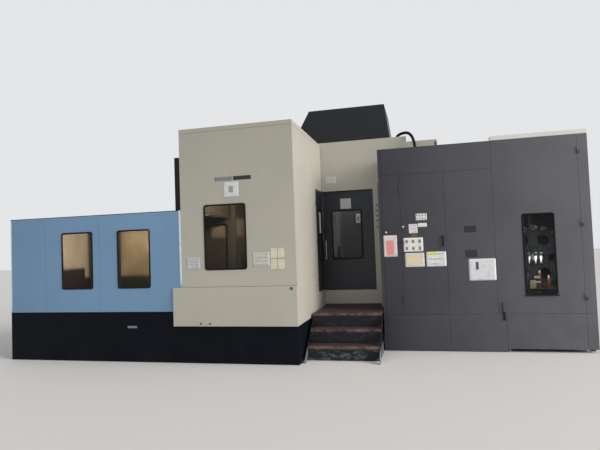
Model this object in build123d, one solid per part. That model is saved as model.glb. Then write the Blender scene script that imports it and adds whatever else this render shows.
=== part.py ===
"""Large enclosed CNC machining centre with an operator bay, in millimetres.

Frame: +X along the long front to the right, +Y into the depth, +Z up.
The origin is the centre of the footprint on the floor; the front faces -Y.
"""
import os
from math import cos, pi, sin

from build123d import *

os.makedirs("parts", exist_ok=True)

# Widths of the four bays of the front, from left to right
GUARD_W = 3120
TOWER_W = 1800
BAY_W = 1130
CABINET_W = 3060

# Depths behind the tower's front plane
SKIRT_PROUD = 25
BAY_DEPTH = 2100
CABINET_SETBACK = 1084
HOUSE_DEPTH = 2075

# Heights above the floor
GUARD_BASE_H = 775
GUARD_H = 2320
SKIRT_Z0 = 556
SKIRT_Z1 = 1136
TOWER_H = 3560
HOUSE_H = 3600
SHOULDER_H = 3500
CABINET_H = 3210
HOOD_H = 4340
PLATFORM_H = 632
SILL_H = 877
DOOR_TOP = 2693
FLOOR_GAP = 6

# Sheet metal
SHEET = 3
PANEL = 40
SEAM = 3
GLASS_T = 6
GASKET_W = 24
GASKET_LAP = 20
GASKET_PROUD = 8
GASKET_WEB = 4

# Frame tubes
POST = 80
POST_WALL = 5
PAD_H = 20

# Derived planes
X_LEFT = -(GUARD_W + TOWER_W + BAY_W + CABINET_W) / 2
X_TOWER = X_LEFT + GUARD_W
X_BAY = X_TOWER + TOWER_W
X_CAB = X_BAY + BAY_W
X_RIGHT = X_CAB + CABINET_W
Y_FRONT = -(BAY_DEPTH + HOUSE_DEPTH - SKIRT_PROUD) / 2
Y_CAB = Y_FRONT + CABINET_SETBACK
Y_BAY = Y_FRONT + BAY_DEPTH
Y_REAR = Y_BAY + HOUSE_DEPTH
HOUSE_HIGH_W = 1570
HOUSE_LOW_W = 530
X_HIGH = X_BAY + HOUSE_HIGH_W
X_HOUSE = X_HIGH + HOUSE_LOW_W

# Door in the bay and hatch in the tower's side
JAMB_W = 190
DOOR_LAP = 20
LEAF_GAP = 12
LEAF_T = 40
HATCH_D = 577
HATCH_Z0 = 900
DOOR_TRAVEL = 870

nodes = {}


def block(x0, x1, y0, y1, z0, z1):
    """Box between two corners."""
    return Pos((x0 + x1) / 2, (y0 + y1) / 2, (z0 + z1) / 2) * Box(x1 - x0, y1 - y0, z1 - z0)


def rod(start, axis, radius, length):
    """Cylinder from a point along a direction."""
    return extrude(Plane(origin=start, z_dir=axis) * Circle(radius), length)


def square_tube(x0, x1, y0, y1, z0, z1, wall=POST_WALL):
    """Square tube along the longest side of its box, open at both ends."""
    outer = block(x0, x1, y0, y1, z0, z1)
    run = max(x1 - x0, y1 - y0, z1 - z0)
    cuts = [0 if side == run else wall for side in (x1 - x0, y1 - y0, z1 - z0)]
    return outer - block(x0 + cuts[0], x1 - cuts[0], y0 + cuts[1], y1 - cuts[1], z0 + cuts[2], z1 - cuts[2])


def front(y):
    """Plane facing the viewer; its x is +X and its y is +Z."""
    return Plane(origin=(0, y, 0), x_dir=(1, 0, 0), z_dir=(0, -1, 0))


def right(x):
    """Plane facing +X; its x is +Y and its y is +Z."""
    return Plane(origin=(x, 0, 0), x_dir=(0, 1, 0), z_dir=(1, 0, 0))


def top(z):
    """Plane facing up; its x is +X and its y is +Y."""
    return Plane(origin=(0, 0, z), x_dir=(1, 0, 0), z_dir=(0, 0, 1))


def rect(a0, a1, b0, b1):
    """Rectangle between two corners of a plane."""
    return Pos((a0 + a1) / 2, (b0 + b1) / 2) * Rectangle(a1 - a0, b1 - b0)


def soft_rect(a0, a1, b0, b1, radius):
    """Rectangle with round corners between two corners of a plane."""
    return Pos((a0 + a1) / 2, (b0 + b1) / 2) * RectangleRounded(a1 - a0, b1 - b0, radius)


def tray(plane, outline, depth=PANEL, cutouts=(), inward=-1):
    """Folded sheet panel: a face on the plane with its edges folded back.

    inward is -1 when the folds run against the plane's normal and +1 along it.
    """
    skin = extrude(plane * outline, inward * depth)
    hollow = extrude(plane.offset(inward * SHEET) * offset(outline, -SHEET, kind=Kind.INTERSECTION),
                     inward * depth)
    panel = skin - hollow
    for hole in cutouts:
        panel -= extrude(plane * hole, 2 * inward * SHEET)
    return panel


def gasket(plane, hole, inward=-1):
    """Rubber glazing ring gripping the sheet round a cut-out and the glass inside it."""
    outer = offset(hole, GASKET_W, kind=Kind.ARC)
    inner = offset(hole, -GASKET_LAP, kind=Kind.INTERSECTION)
    ring = extrude(plane.offset(-inward * GASKET_PROUD) * (outer - inner),
                   inward * (2 * GASKET_PROUD + GLASS_T))
    sheet_slot = extrude(plane * (offset(outer, 1) - hole), inward * SHEET)
    glass_slot = extrude(plane * (offset(hole, -GASKET_WEB) - offset(inner, -1)), inward * GLASS_T)
    return ring - sheet_slot - glass_slot


def pane(plane, hole, inward=-1):
    """Glass seated in the gasket's inner slot."""
    return extrude(plane * offset(hole, -GASKET_WEB), inward * GLASS_T)


def add(name, *solids):
    """Put solids into a named piece or group of like pieces."""
    nodes.setdefault(name, []).extend(solids)


# Outer frame: welded square tubes standing on pads, which carry every panel
GUARD_SEAM_1 = 680
GUARD_SEAM_2 = 1690
POST_XS_GUARD = [X_LEFT + PANEL, X_LEFT + GUARD_SEAM_1 - POST / 2, X_LEFT + GUARD_SEAM_2 - POST / 2,
                 X_TOWER - PANEL]
Y_POST_F = Y_FRONT + PANEL
Y_POST_M = Y_BAY - PANEL - POST
Y_POST_R = Y_REAR - PANEL - POST
TOWER_POST_XS = [X_TOWER + PANEL, X_BAY - PANEL - POST]


def posts(places, z1):
    """Upright tubes with their near left corners at the places."""
    return [square_tube(x, x + POST, y, y + POST, PAD_H, z1) for x, y in places]


guard_places = [(x, y) for x in POST_XS_GUARD for y in (Y_POST_F, Y_POST_M)]
add("enclosure_frame", *posts(guard_places, GUARD_H - PANEL))
guard_beams = []
for y in (Y_POST_F, Y_POST_M):
    for z1 in (GUARD_BASE_H + POST / 2, GUARD_H - PANEL):
        for x0, x1 in zip(POST_XS_GUARD, POST_XS_GUARD[1:]):
            guard_beams.append(square_tube(x0 + POST, x1, y, y + POST, z1 - POST, z1))
for z1 in (GUARD_BASE_H + POST / 2, GUARD_H - PANEL):
    x0 = POST_XS_GUARD[0]
    guard_beams.append(square_tube(x0, x0 + POST, Y_POST_F + POST, Y_POST_M, z1 - POST, z1))
add("enclosure_frame", *guard_beams)

TOWER_FRAME_TOP = TOWER_H - SHEET
HOUSE_FRAME_TOP = HOUSE_H - SHEET
tower_places = [(x, Y_POST_F) for x in TOWER_POST_XS] + [(TOWER_POST_XS[0], Y_POST_M)]
Y_CORNER = Y_BAY + PANEL + SEAM
house_places = [
    (X_TOWER + PANEL, Y_POST_R),
    (X_BAY - POST, Y_CORNER),
    (X_BAY - POST, Y_POST_R),
    (X_HOUSE - PANEL - POST, Y_CORNER + LEAF_GAP + LEAF_T + SEAM),
    (X_HOUSE - PANEL - POST, Y_POST_R),
]
add("enclosure_frame", *posts(tower_places, TOWER_FRAME_TOP))
low_tops = [HOUSE_FRAME_TOP] * 3 + [SHOULDER_H - SHEET] * 2
house_posts = []
for place, z1 in zip(house_places, low_tops):
    house_posts += posts([place], z1)
add("enclosure_frame", *house_posts)

Z_WAIST = SKIRT_Z1 + POST / 2
tower_beams = [
    square_tube(TOWER_POST_XS[0] + POST, TOWER_POST_XS[1], Y_POST_F, Y_POST_F + POST, z1 - POST, z1)
    for z1 in (SKIRT_Z0 + POST / 2, Z_WAIST, TOWER_FRAME_TOP)
]
tower_beams += [
    square_tube(TOWER_POST_XS[0], TOWER_POST_XS[0] + POST, Y_POST_F + POST, Y_POST_M,
                TOWER_FRAME_TOP - POST, TOWER_FRAME_TOP),
    square_tube(TOWER_POST_XS[1], TOWER_POST_XS[1] + POST, Y_POST_F + POST, Y_POST_M,
                TOWER_FRAME_TOP - POST, TOWER_FRAME_TOP),
    square_tube(TOWER_POST_XS[0] + POST, TOWER_POST_XS[1] + POST, Y_POST_M, Y_POST_M + POST,
                TOWER_FRAME_TOP - POST, TOWER_FRAME_TOP),
    square_tube(TOWER_POST_XS[1], TOWER_POST_XS[1] + POST, Y_POST_F + POST, Y_CORNER,
                SKIRT_Z0 - POST / 2, SKIRT_Z0 + POST / 2),
]
add("enclosure_frame", *tower_beams)

# Dark base: folded trays round the foot of the guard and the tower
BASE_SEAM_Z = 557
base = []
for z0, z1 in ((FLOOR_GAP, BASE_SEAM_Z), (BASE_SEAM_Z + SEAM, GUARD_BASE_H - SEAM)):
    base.append(tray(front(Y_FRONT), rect(X_LEFT, X_TOWER - SEAM, z0, z1)))
    base.append(tray(right(X_LEFT), rect(Y_FRONT + PANEL + SEAM, Y_BAY, z0, z1), inward=1))
    base.append(tray(front(Y_BAY), rect(X_LEFT + PANEL + SEAM, X_TOWER - SEAM, z0, z1), inward=1))
base.append(tray(front(Y_FRONT), rect(X_TOWER, X_BAY, FLOOR_GAP, SKIRT_Z0 - SEAM)))
base.append(tray(right(X_BAY), rect(Y_FRONT + PANEL + SEAM, Y_BAY - SEAM, FLOOR_GAP, SKIRT_Z0 - SEAM)))
add("base_cladding", *base)

# Small grip plate on the seam of the base
GRIP_X = 2170
GRIP_W = 160
GRIP_H = 34
add("guard_top_trim", block(X_LEFT + GRIP_X, X_LEFT + GRIP_X + GRIP_W, Y_FRONT - SHEET, Y_FRONT,
                            BASE_SEAM_Z - GRIP_H, BASE_SEAM_Z))

# Kick panels of the housing, from the floor to the sill, behind the steps and round the back
KICK_H = PLATFORM_H
kick = [
    tray(front(Y_BAY), rect(X_BAY + SEAM, X_HOUSE - PANEL - SEAM, FLOOR_GAP, KICK_H)),
    tray(right(X_TOWER), rect(Y_BAY + SEAM, Y_REAR - PANEL - SEAM, FLOOR_GAP, KICK_H), inward=1),
    tray(right(X_HOUSE), rect(Y_BAY + SEAM, Y_REAR - PANEL - SEAM, FLOOR_GAP, KICK_H)),
    tray(front(Y_REAR), rect(X_TOWER, X_HOUSE, FLOOR_GAP, KICK_H), inward=1),
]
add("base_cladding", *kick)

# Blue guard: a plain panel and two panels with a window each
WINDOW_W = 555
WINDOW_Z0 = 1150
WINDOW_Z1 = 2045
WINDOW_1_X = 1000
WINDOW_2_X = 2020
CORNER_R = 25
GUARD_TRIM_H = 10
guard_holes = [soft_rect(X_LEFT + x, X_LEFT + x + WINDOW_W, WINDOW_Z0, WINDOW_Z1, CORNER_R)
               for x in (WINDOW_1_X, WINDOW_2_X)]
guard_edges = [X_LEFT, X_LEFT + GUARD_SEAM_1, X_LEFT + GUARD_SEAM_2, X_TOWER]
guard_top = GUARD_H - GUARD_TRIM_H
add("guard_panels", tray(front(Y_FRONT), rect(guard_edges[0], guard_edges[1] - SEAM,
                                                     GUARD_BASE_H, guard_top)))
guard_panels = []
for x0, x1, hole in zip(guard_edges[1:], guard_edges[2:], guard_holes):
    outline = rect(x0, x1 - SEAM, GUARD_BASE_H, guard_top)
    guard_panels.append(tray(front(Y_FRONT), outline, cutouts=[hole]))
add("guard_panels", *guard_panels)
add("window_gaskets", *[gasket(front(Y_FRONT), hole) for hole in guard_holes])
add("window_glass", *[pane(front(Y_FRONT), hole) for hole in guard_holes])
add("guard_outer_panels", tray(right(X_LEFT), rect(Y_FRONT + PANEL + SEAM, Y_BAY, GUARD_BASE_H,
                                                  guard_top), inward=1))
guard_mid = (X_LEFT + X_TOWER) / 2
add("guard_outer_panels", *[
    tray(front(Y_BAY), rect(x0, x1, GUARD_BASE_H, guard_top), inward=1)
    for x0, x1 in ((X_LEFT + PANEL + SEAM, guard_mid - SEAM), (guard_mid, X_TOWER - SEAM))])
add("guard_outer_panels", tray(top(GUARD_H), rect(X_LEFT + PANEL, X_TOWER - SEAM, Y_FRONT + PANEL,
                                                  Y_BAY - PANEL)))
TRIM_T = 30
add("guard_top_trim", block(X_LEFT, X_TOWER - SEAM, Y_FRONT, Y_FRONT + TRIM_T, guard_top, GUARD_H))

# Cable riser: a dark square duct from the guard's roof up the tower's left wall
RISER_W = 80
RISER_GAP = 160
RISER_DROP = 370
RISER_Y = 300
RISER_TIE_IN = 10
RISER_TIE_DROP = 60
RISER_TIE_H = 60
x_riser = X_TOWER - RISER_GAP - RISER_W
y_riser = Y_FRONT + RISER_Y
riser_top = TOWER_H - RISER_DROP
tie_top = riser_top - RISER_TIE_DROP
add("cable_riser",
    square_tube(x_riser, x_riser + RISER_W, y_riser, y_riser + RISER_W, GUARD_H, riser_top),
    block(x_riser, x_riser + RISER_W, y_riser, y_riser + RISER_W, riser_top, riser_top + SHEET),
    block(x_riser + RISER_W, X_TOWER, y_riser + RISER_TIE_IN, y_riser + RISER_W - RISER_TIE_IN,
          tie_top - RISER_TIE_H, tie_top))

# Tower: front panel with its window, proud skirt, sides and cap
TOWER_CAP_H = 65
TOWER_WINDOW_X = 390
TOWER_WINDOW_W = 653
TOWER_WINDOW_Z0 = 1400
TOWER_WINDOW_Z1 = 2366
TOWER_CORNER_R = 35
SKIRT_OVER = 150
tower_top = TOWER_H - TOWER_CAP_H
tower_hole = soft_rect(X_TOWER + TOWER_WINDOW_X, X_TOWER + TOWER_WINDOW_X + TOWER_WINDOW_W,
                       TOWER_WINDOW_Z0, TOWER_WINDOW_Z1, TOWER_CORNER_R)
add("tower_front_panel", tray(front(Y_FRONT), rect(X_TOWER, X_BAY, SKIRT_Z1 + SEAM, tower_top - SEAM),
                               cutouts=[tower_hole]))
add("window_gaskets", gasket(front(Y_FRONT), tower_hole))
add("window_glass", pane(front(Y_FRONT), tower_hole))
skirt = tray(front(Y_FRONT - SKIRT_PROUD), rect(X_TOWER, X_BAY, SKIRT_Z0, SKIRT_Z1), PANEL + SKIRT_PROUD)
skirt_wing = tray(front(Y_FRONT - SKIRT_PROUD), rect(X_TOWER - SKIRT_OVER, X_TOWER + SHEET, SKIRT_Z0,
                                                     SKIRT_Z1), SKIRT_PROUD)
add("tower_skirt_panel", skirt + skirt_wing)

y_hatch = Y_BAY - HATCH_D
side_outline = rect(Y_FRONT + PANEL + SEAM, Y_BAY, SKIRT_Z0, tower_top - SEAM)
side_outline -= rect(y_hatch, Y_BAY + PANEL, HATCH_Z0, DOOR_TOP)
add("tower_side_panel", tray(right(X_BAY), side_outline))
add("housing_panels", tray(right(X_TOWER), rect(Y_FRONT + PANEL + SEAM, Y_BAY, GUARD_H + SEAM,
                                                    tower_top - SEAM), inward=1))
add("tower_cap", tray(top(TOWER_H), rect(X_TOWER, X_BAY, Y_FRONT, Y_BAY - SEAM), TOWER_CAP_H))

# Housing behind the bay: header, jamb and sill round the door, then sides, back and roof
x_jamb = X_CAB - JAMB_W
add("bay_front_panels", tray(front(Y_BAY), rect(X_BAY + SEAM, X_HIGH, DOOR_TOP, HOUSE_H - PANEL)),
     tray(front(Y_BAY), rect(X_HIGH + SEAM, X_HOUSE - PANEL - SEAM, DOOR_TOP, SHOULDER_H - PANEL)))
add("bay_front_panels", tray(front(Y_BAY), rect(x_jamb, X_CAB, SILL_H, DOOR_TOP)))
add("bay_front_panels", tray(front(Y_BAY), rect(X_BAY + SEAM, X_CAB, KICK_H, SILL_H)))
add("housing_panels", tray(right(X_TOWER), rect(Y_BAY + SEAM, Y_REAR - PANEL - SEAM, KICK_H,
                                                      HOUSE_H - PANEL), inward=1))
add("housing_panels", tray(right(X_HOUSE), rect(Y_BAY + SEAM, Y_REAR - PANEL - SEAM, KICK_H,
                                                       SHOULDER_H - PANEL)))
add("housing_panels", tray(right(X_HIGH), rect(Y_BAY + PANEL + SEAM, Y_REAR - PANEL - SEAM,
                                                     SHOULDER_H, HOUSE_H - PANEL)))
back_seams = [X_TOWER + (X_HIGH - X_TOWER) * i / 3 for i in range(4)]
add("housing_panels", *[
    tray(front(Y_REAR), rect(x0, x1 - SEAM, KICK_H, HOUSE_H - PANEL), inward=1)
    for x0, x1 in zip(back_seams, back_seams[1:])],
    tray(front(Y_REAR), rect(X_HIGH, X_HOUSE, KICK_H, SHOULDER_H - PANEL), inward=1))

# Housing top: beams, roof trays and the tapered hood over the column
y_beam_f = Y_CORNER
house_beams = [
    square_tube(X_BAY, X_HIGH - PANEL, y_beam_f + LEAF_GAP + LEAF_T + SEAM,
                y_beam_f + LEAF_GAP + LEAF_T + SEAM + POST, HOUSE_FRAME_TOP - POST, HOUSE_FRAME_TOP),
    square_tube(X_TOWER + PANEL + POST, X_BAY - POST, Y_POST_R, Y_POST_R + POST,
                HOUSE_FRAME_TOP - POST, HOUSE_FRAME_TOP),
    square_tube(X_BAY, X_HIGH - PANEL, Y_POST_R, Y_POST_R + POST, HOUSE_FRAME_TOP - POST, HOUSE_FRAME_TOP),
    square_tube(X_TOWER + PANEL, X_TOWER + PANEL + POST, Y_CORNER, Y_POST_R, HOUSE_FRAME_TOP - POST,
                HOUSE_FRAME_TOP),
    square_tube(X_HOUSE - PANEL - POST, X_HOUSE - PANEL, Y_CORNER + LEAF_GAP + LEAF_T + SEAM + POST, Y_POST_R,
                SHOULDER_H - SHEET - POST, SHOULDER_H - SHEET),
    square_tube(X_HIGH - PANEL - POST, X_HIGH - PANEL, Y_CORNER + LEAF_GAP + LEAF_T + SEAM + POST, Y_POST_R,
                HOUSE_FRAME_TOP - POST, HOUSE_FRAME_TOP),
]
add("enclosure_frame", *house_beams)

HOOD_X0 = -680
HOOD_X1 = 1270
HOOD_TOP_X0 = -280
HOOD_TOP_X1 = 1180
HOOD_Y0 = 380
HOOD_Y1 = 1640
HOOD_DRAFT = 60
HOOD_WALL = 4
HOOD_RIM = 60


def hood_block(inset, z0, z1):
    """Tapered block between two rectangles; inset draws both of them in."""
    low = rect(X_BAY + HOOD_X0 + inset, X_BAY + HOOD_X1 - inset, Y_BAY + HOOD_Y0 + inset,
               Y_BAY + HOOD_Y1 - inset)
    high = rect(X_BAY + HOOD_TOP_X0 + inset, X_BAY + HOOD_TOP_X1 - inset,
                Y_BAY + HOOD_Y0 + HOOD_DRAFT + inset, Y_BAY + HOOD_Y1 - HOOD_DRAFT - inset)
    return loft([top(z0) * low, top(z1) * high])


hood = hood_block(0, HOUSE_H, HOOD_H) - hood_block(HOOD_WALL, HOUSE_H - 1, HOOD_H - HOOD_WALL)
add("column_hood", hood)
roof_hole = rect(X_BAY + HOOD_X0 + HOOD_RIM, X_BAY + HOOD_X1 - HOOD_RIM, Y_BAY + HOOD_Y0 + HOOD_RIM,
                 Y_BAY + HOOD_Y1 - HOOD_RIM)
add("housing_roof_panels",
     tray(top(HOUSE_H), rect(X_TOWER, X_HIGH, Y_BAY, Y_REAR), cutouts=[roof_hole]),
     tray(top(SHOULDER_H), rect(X_HIGH + SEAM, X_HOUSE, Y_BAY, Y_REAR)))

# Sliding door of the bay: a thick leaf hung from a rail behind the header
DOOR_RAIL = 60
HANGER_W = 120
HANGER_T = 8
HANGER_GAP = 0.3
DOOR_WINDOW_X0 = 165
DOOR_WINDOW_X1 = 710
DOOR_WINDOW_Z0 = 1450
DOOR_WINDOW_Z1 = 2330
y_leaf = Y_BAY + PANEL + LEAF_GAP
leaf_x0 = X_BAY + LEAF_GAP
leaf_x1 = x_jamb + DOOR_LAP
leaf_z0 = SILL_H - DOOR_LAP
leaf_z1 = DOOR_TOP + DOOR_LAP
door_hole = soft_rect(X_BAY + DOOR_WINDOW_X0, X_BAY + DOOR_WINDOW_X1, DOOR_WINDOW_Z0, DOOR_WINDOW_Z1,
                      CORNER_R)
add("bay_door_leaf", tray(front(y_leaf), rect(leaf_x0, leaf_x1, leaf_z0, leaf_z1), LEAF_T,
                           cutouts=[door_hole]))
add("bay_door_gasket", gasket(front(y_leaf), door_hole))
add("bay_door_glass", pane(front(y_leaf), door_hole))
HANDLE_X = 42
HANDLE_Z0 = 1440
HANDLE_Z1 = 1780
HANDLE_R = 11
HANDLE_STAND = 30
handle_y = y_leaf - HANDLE_STAND
grip_path = FilletPolyline((X_BAY + HANDLE_X, y_leaf, HANDLE_Z0), (X_BAY + HANDLE_X, handle_y, HANDLE_Z0),
                           (X_BAY + HANDLE_X, handle_y, HANDLE_Z1), (X_BAY + HANDLE_X, y_leaf, HANDLE_Z1),
                           radius=HANDLE_R * 1.5)
add("bay_door_fittings", sweep(Plane(origin=(X_BAY + HANDLE_X, y_leaf, HANDLE_Z0), z_dir=(0, -1, 0))
                              * Circle(HANDLE_R), path=grip_path))
y_rail = y_leaf + LEAF_T + SEAM
z_rail = leaf_z1 + SEAM
add("bay_door_rail", square_tube(X_BAY, X_HOUSE - PANEL - POST, y_rail, y_rail + DOOR_RAIL, z_rail,
                                  z_rail + DOOR_RAIL))
hangers = []
for x in (leaf_x0 + HANGER_W, leaf_x1 - HANGER_W):
    web = block(x - HANGER_W / 2, x + HANGER_W / 2, y_leaf + LEAF_T - HANGER_T, y_leaf + LEAF_T, leaf_z1,
                z_rail + DOOR_RAIL + HANGER_GAP + HANGER_T)
    hook = block(x - HANGER_W / 2, x + HANGER_W / 2, y_leaf + LEAF_T, y_rail + DOOR_RAIL,
                 z_rail + DOOR_RAIL + HANGER_GAP, z_rail + DOOR_RAIL + HANGER_GAP + HANGER_T)
    hangers.append(web + hook)
add("bay_door_fittings", *hangers)

# Butt hinge: a pinned fixed half below and a bored moving half above it
HINGE_R = 8
HINGE_PIN_R = 4
HINGE_FIT = 0.05
HINGE_HALF = 50
HINGE_LEAF = 34
HINGE_STAND = 9
HINGE_INSET = 240


def hinge(place):
    """Fixed and moving halves; the moving side is +x of the place and the face looks along -y."""
    low = rod((0, 0, -HINGE_HALF), (0, 0, 1), HINGE_R, HINGE_HALF)
    pin = rod((0, 0, 0), (0, 0, 1), HINGE_PIN_R, HINGE_HALF)
    plate = block(-HINGE_LEAF, 0, HINGE_STAND - SHEET, HINGE_STAND, -HINGE_HALF, 0)
    web = block(-HINGE_R, 0, 0, HINGE_STAND, -HINGE_HALF, 0)
    high = rod((0, 0, HANGER_GAP), (0, 0, 1), HINGE_R, HINGE_HALF - HANGER_GAP)
    swing_plate = block(0, HINGE_LEAF, HINGE_STAND - SHEET, HINGE_STAND, HANGER_GAP, HINGE_HALF)
    swing_web = block(0, HINGE_R, 0, HINGE_STAND, HANGER_GAP, HINGE_HALF)
    moving = high + swing_plate + swing_web - rod((0, 0, 0), (0, 0, 1), HINGE_PIN_R + HINGE_FIT, HINGE_HALF)
    return place * (low + pin + plate + web), place * moving


def hinge_set(place_at, z0, z1):
    """Three hinges between a leaf's foot and top, as fixed halves and moving halves."""
    pairs = [hinge(place_at(z)) for z in (z0 + HINGE_INSET, (z0 + z1) / 2, z1 - HINGE_INSET)]
    return [pair[0] for pair in pairs], [pair[1] for pair in pairs]


# Hatch in the tower's side, hinged at its front edge
HATCH_WINDOW_Y0 = 150
HATCH_WINDOW_Y1 = 420
hatch_y0 = y_hatch + SEAM
hatch_y1 = Y_BAY - SEAM
hatch_hole = soft_rect(y_hatch + HATCH_WINDOW_Y0, y_hatch + HATCH_WINDOW_Y1, DOOR_WINDOW_Z0,
                       DOOR_WINDOW_Z1, CORNER_R)
add("hatch_leaf", tray(right(X_BAY), rect(hatch_y0, hatch_y1, HATCH_Z0 + SEAM, DOOR_TOP - SEAM),
                        cutouts=[hatch_hole]))
add("hatch_gasket", gasket(right(X_BAY), hatch_hole))
add("hatch_glass", pane(right(X_BAY), hatch_hole))
hatch_axis = (X_BAY + HINGE_STAND, y_hatch + SEAM / 2)
fixed, moving = hinge_set(lambda z: Pos(*hatch_axis, z) * Rot(0, 0, 90), HATCH_Z0, DOOR_TOP)
add("fixed_hinge_halves", *fixed)
add("hatch_leaf", *moving)
HATCH_GRIP_Y = 500
HATCH_GRIP_Z0 = 1320
HATCH_GRIP_Z1 = 2080
grip_y = y_hatch + HATCH_GRIP_Y
hatch_path = FilletPolyline((X_BAY, grip_y, HATCH_GRIP_Z0), (X_BAY + HANDLE_STAND, grip_y, HATCH_GRIP_Z0),
                            (X_BAY + HANDLE_STAND, grip_y, HATCH_GRIP_Z1), (X_BAY, grip_y, HATCH_GRIP_Z1),
                            radius=HANDLE_R * 1.5)
add("hatch_handle", sweep(Plane(origin=(X_BAY, grip_y, HATCH_GRIP_Z0), z_dir=(1, 0, 0))
                          * Circle(HANDLE_R), path=hatch_path))

# Steps and platform of the bay
TREAD_T = 5
TREAD_FOLD = 40
STAIR_X0 = 50
STAIR_X1 = 1120
STEP_TUBE = 40
STEP_COUNT = 3
STEP_Y0 = 320
STEP_GOING = 245
STEP_LAP = 10
STAIR_WALL = 3
treads = []
for i in range(STEP_COUNT):
    y0 = STEP_Y0 + i * STEP_GOING
    y1 = BAY_DEPTH if i == STEP_COUNT - 1 else y0 + STEP_GOING + STEP_LAP
    treads.append((y0, y1, PLATFORM_H * (i + 1) / STEP_COUNT))
tread_solids = [
    tray(top(z), rect(X_BAY + STAIR_X0, X_BAY + STAIR_X1, Y_FRONT + y0, Y_FRONT + y1), TREAD_FOLD)
    for y0, y1, z in treads]
add("stair_treads", *tread_solids)
riser_feet = [FLOOR_GAP] + [z for y0, y1, z in treads[:-1]]
add("base_cladding", *[
    block(X_BAY + STAIR_X0, X_BAY + STAIR_X1, Y_FRONT + y0 + SEAM, Y_FRONT + y0 + SEAM + SHEET, foot,
          z - TREAD_FOLD)
    for (y0, y1, z), foot in zip(treads, riser_feet)])
STRINGER_T = 8
STRINGER_W = 90
STRINGER_Y = 120
stair_frame = []
for x in (X_BAY + STAIR_X0, X_BAY + STAIR_X1 - STEP_TUBE):
    legs = [(y0 + STEP_TUBE, z) for y0, y1, z in treads]
    legs += [((treads[-1][0] + BAY_DEPTH) / 2, PLATFORM_H), (BAY_DEPTH - STEP_TUBE * 1.5, PLATFORM_H)]
    for y, z in legs:
        stair_frame.append(square_tube(x, x + STEP_TUBE, Y_FRONT + y, Y_FRONT + y + STEP_TUBE, 0,
                                       z - TREAD_FOLD, STAIR_WALL))
outer_xs = (X_BAY + STAIR_X0 - STRINGER_T, X_BAY + STAIR_X1)
for x in outer_xs:
    y0, y1 = Y_FRONT + STRINGER_Y, Y_FRONT + treads[-1][0] + STEP_TUBE * 2
    profile = Polyline((y0, 0), (y0 + STRINGER_W, 0), (y1, PLATFORM_H - STRINGER_W), (y1, PLATFORM_H),
                       (y1 - STEP_TUBE, PLATFORM_H), (y0, STRINGER_W / 2), close=True)
    stair_frame.append(extrude(right(x) * make_face(profile), STRINGER_T))
add("stair_frame", *stair_frame)

# Dark cabinet: electrical part on the left, tool magazine on the right
CAB_POST = 60
CAB_WALL = 4
STRIP_W = 50
NARROW_W = 280
DOOR_W = 680
FIXED_W = 710
MAG_DOOR_W = 1200
PLINTH_Z = 573
FASCIA_Z = 2783
x_strip = X_CAB + STRIP_W
x_door = x_strip + NARROW_W
x_fixed = x_door + DOOR_W
x_mag = x_fixed + FIXED_W
x_end = x_mag + MAG_DOOR_W
cab_front = front(Y_CAB)
cab_top = CABINET_H - PANEL


def cab_tray(x0, x1, z0, z1, cutouts=()):
    """Tray on the cabinet's front, with a seam left at its right and top edges."""
    return tray(cab_front, rect(x0, x1 - SEAM, z0, z1 - SEAM), cutouts=cutouts)


add("cabinet_front_panels", cab_tray(X_CAB, x_strip, FLOOR_GAP, CABINET_H))
add("cabinet_front_panels", cab_tray(x_strip, x_mag, FASCIA_Z, CABINET_H))
add("cabinet_front_panels", cab_tray(x_strip, x_door, PLINTH_Z, FASCIA_Z),
     cab_tray(x_fixed, x_mag, PLINTH_Z, FASCIA_Z))
add("cabinet_front_panels", cab_tray(x_end, X_RIGHT + SEAM, PLINTH_Z, CABINET_H))
COVER_Z0 = 50
COVER_LAP = 110
x_cover = x_mag + COVER_LAP
add("cabinet_front_panels", cab_tray(x_strip, x_fixed, FLOOR_GAP, PLINTH_Z),
    cab_tray(x_fixed, x_cover, FLOOR_GAP, PLINTH_Z),
    cab_tray(x_cover, x_end, COVER_Z0, PLINTH_Z), cab_tray(x_end, X_RIGHT + SEAM, COVER_Z0, PLINTH_Z))
y_side0 = Y_CAB + PANEL + SEAM
add("cabinet_shell_panels",
     tray(right(X_CAB), rect(y_side0, Y_BAY - SEAM, FLOOR_GAP, CABINET_H - SEAM), inward=1),
     tray(right(X_RIGHT), rect(y_side0, Y_BAY - SEAM, COVER_Z0, CABINET_H - SEAM)))
add("cabinet_shell_panels", *[
    tray(front(Y_BAY - SEAM), rect(x0, x1 - SEAM, FLOOR_GAP if x0 < x_mag else COVER_Z0, CABINET_H - SEAM),
         inward=1)
    for x0, x1 in ((X_CAB + PANEL + SEAM, x_fixed), (x_fixed, x_mag), (x_mag, X_RIGHT - PANEL))])
y_side1 = Y_BAY - PANEL - SEAM * 2
add("cabinet_shell_panels", tray(top(CABINET_H), rect(X_CAB + PANEL, x_mag, y_side0, y_side1)),
    tray(top(CABINET_H), rect(x_mag + SEAM, X_RIGHT - PANEL, y_side0, y_side1)))
TRAY_H = 65
TRAY_D = 120
cable_tray = block(x_mag, X_RIGHT, Y_CAB, Y_CAB + TRAY_D, CABINET_H, CABINET_H + TRAY_H)
cable_tray -= block(x_mag + SHEET, X_RIGHT - SHEET, Y_CAB + SHEET, Y_CAB + TRAY_D - SHEET,
                    CABINET_H + SHEET, CABINET_H + TRAY_H)
add("roof_cable_tray", cable_tray)

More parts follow.
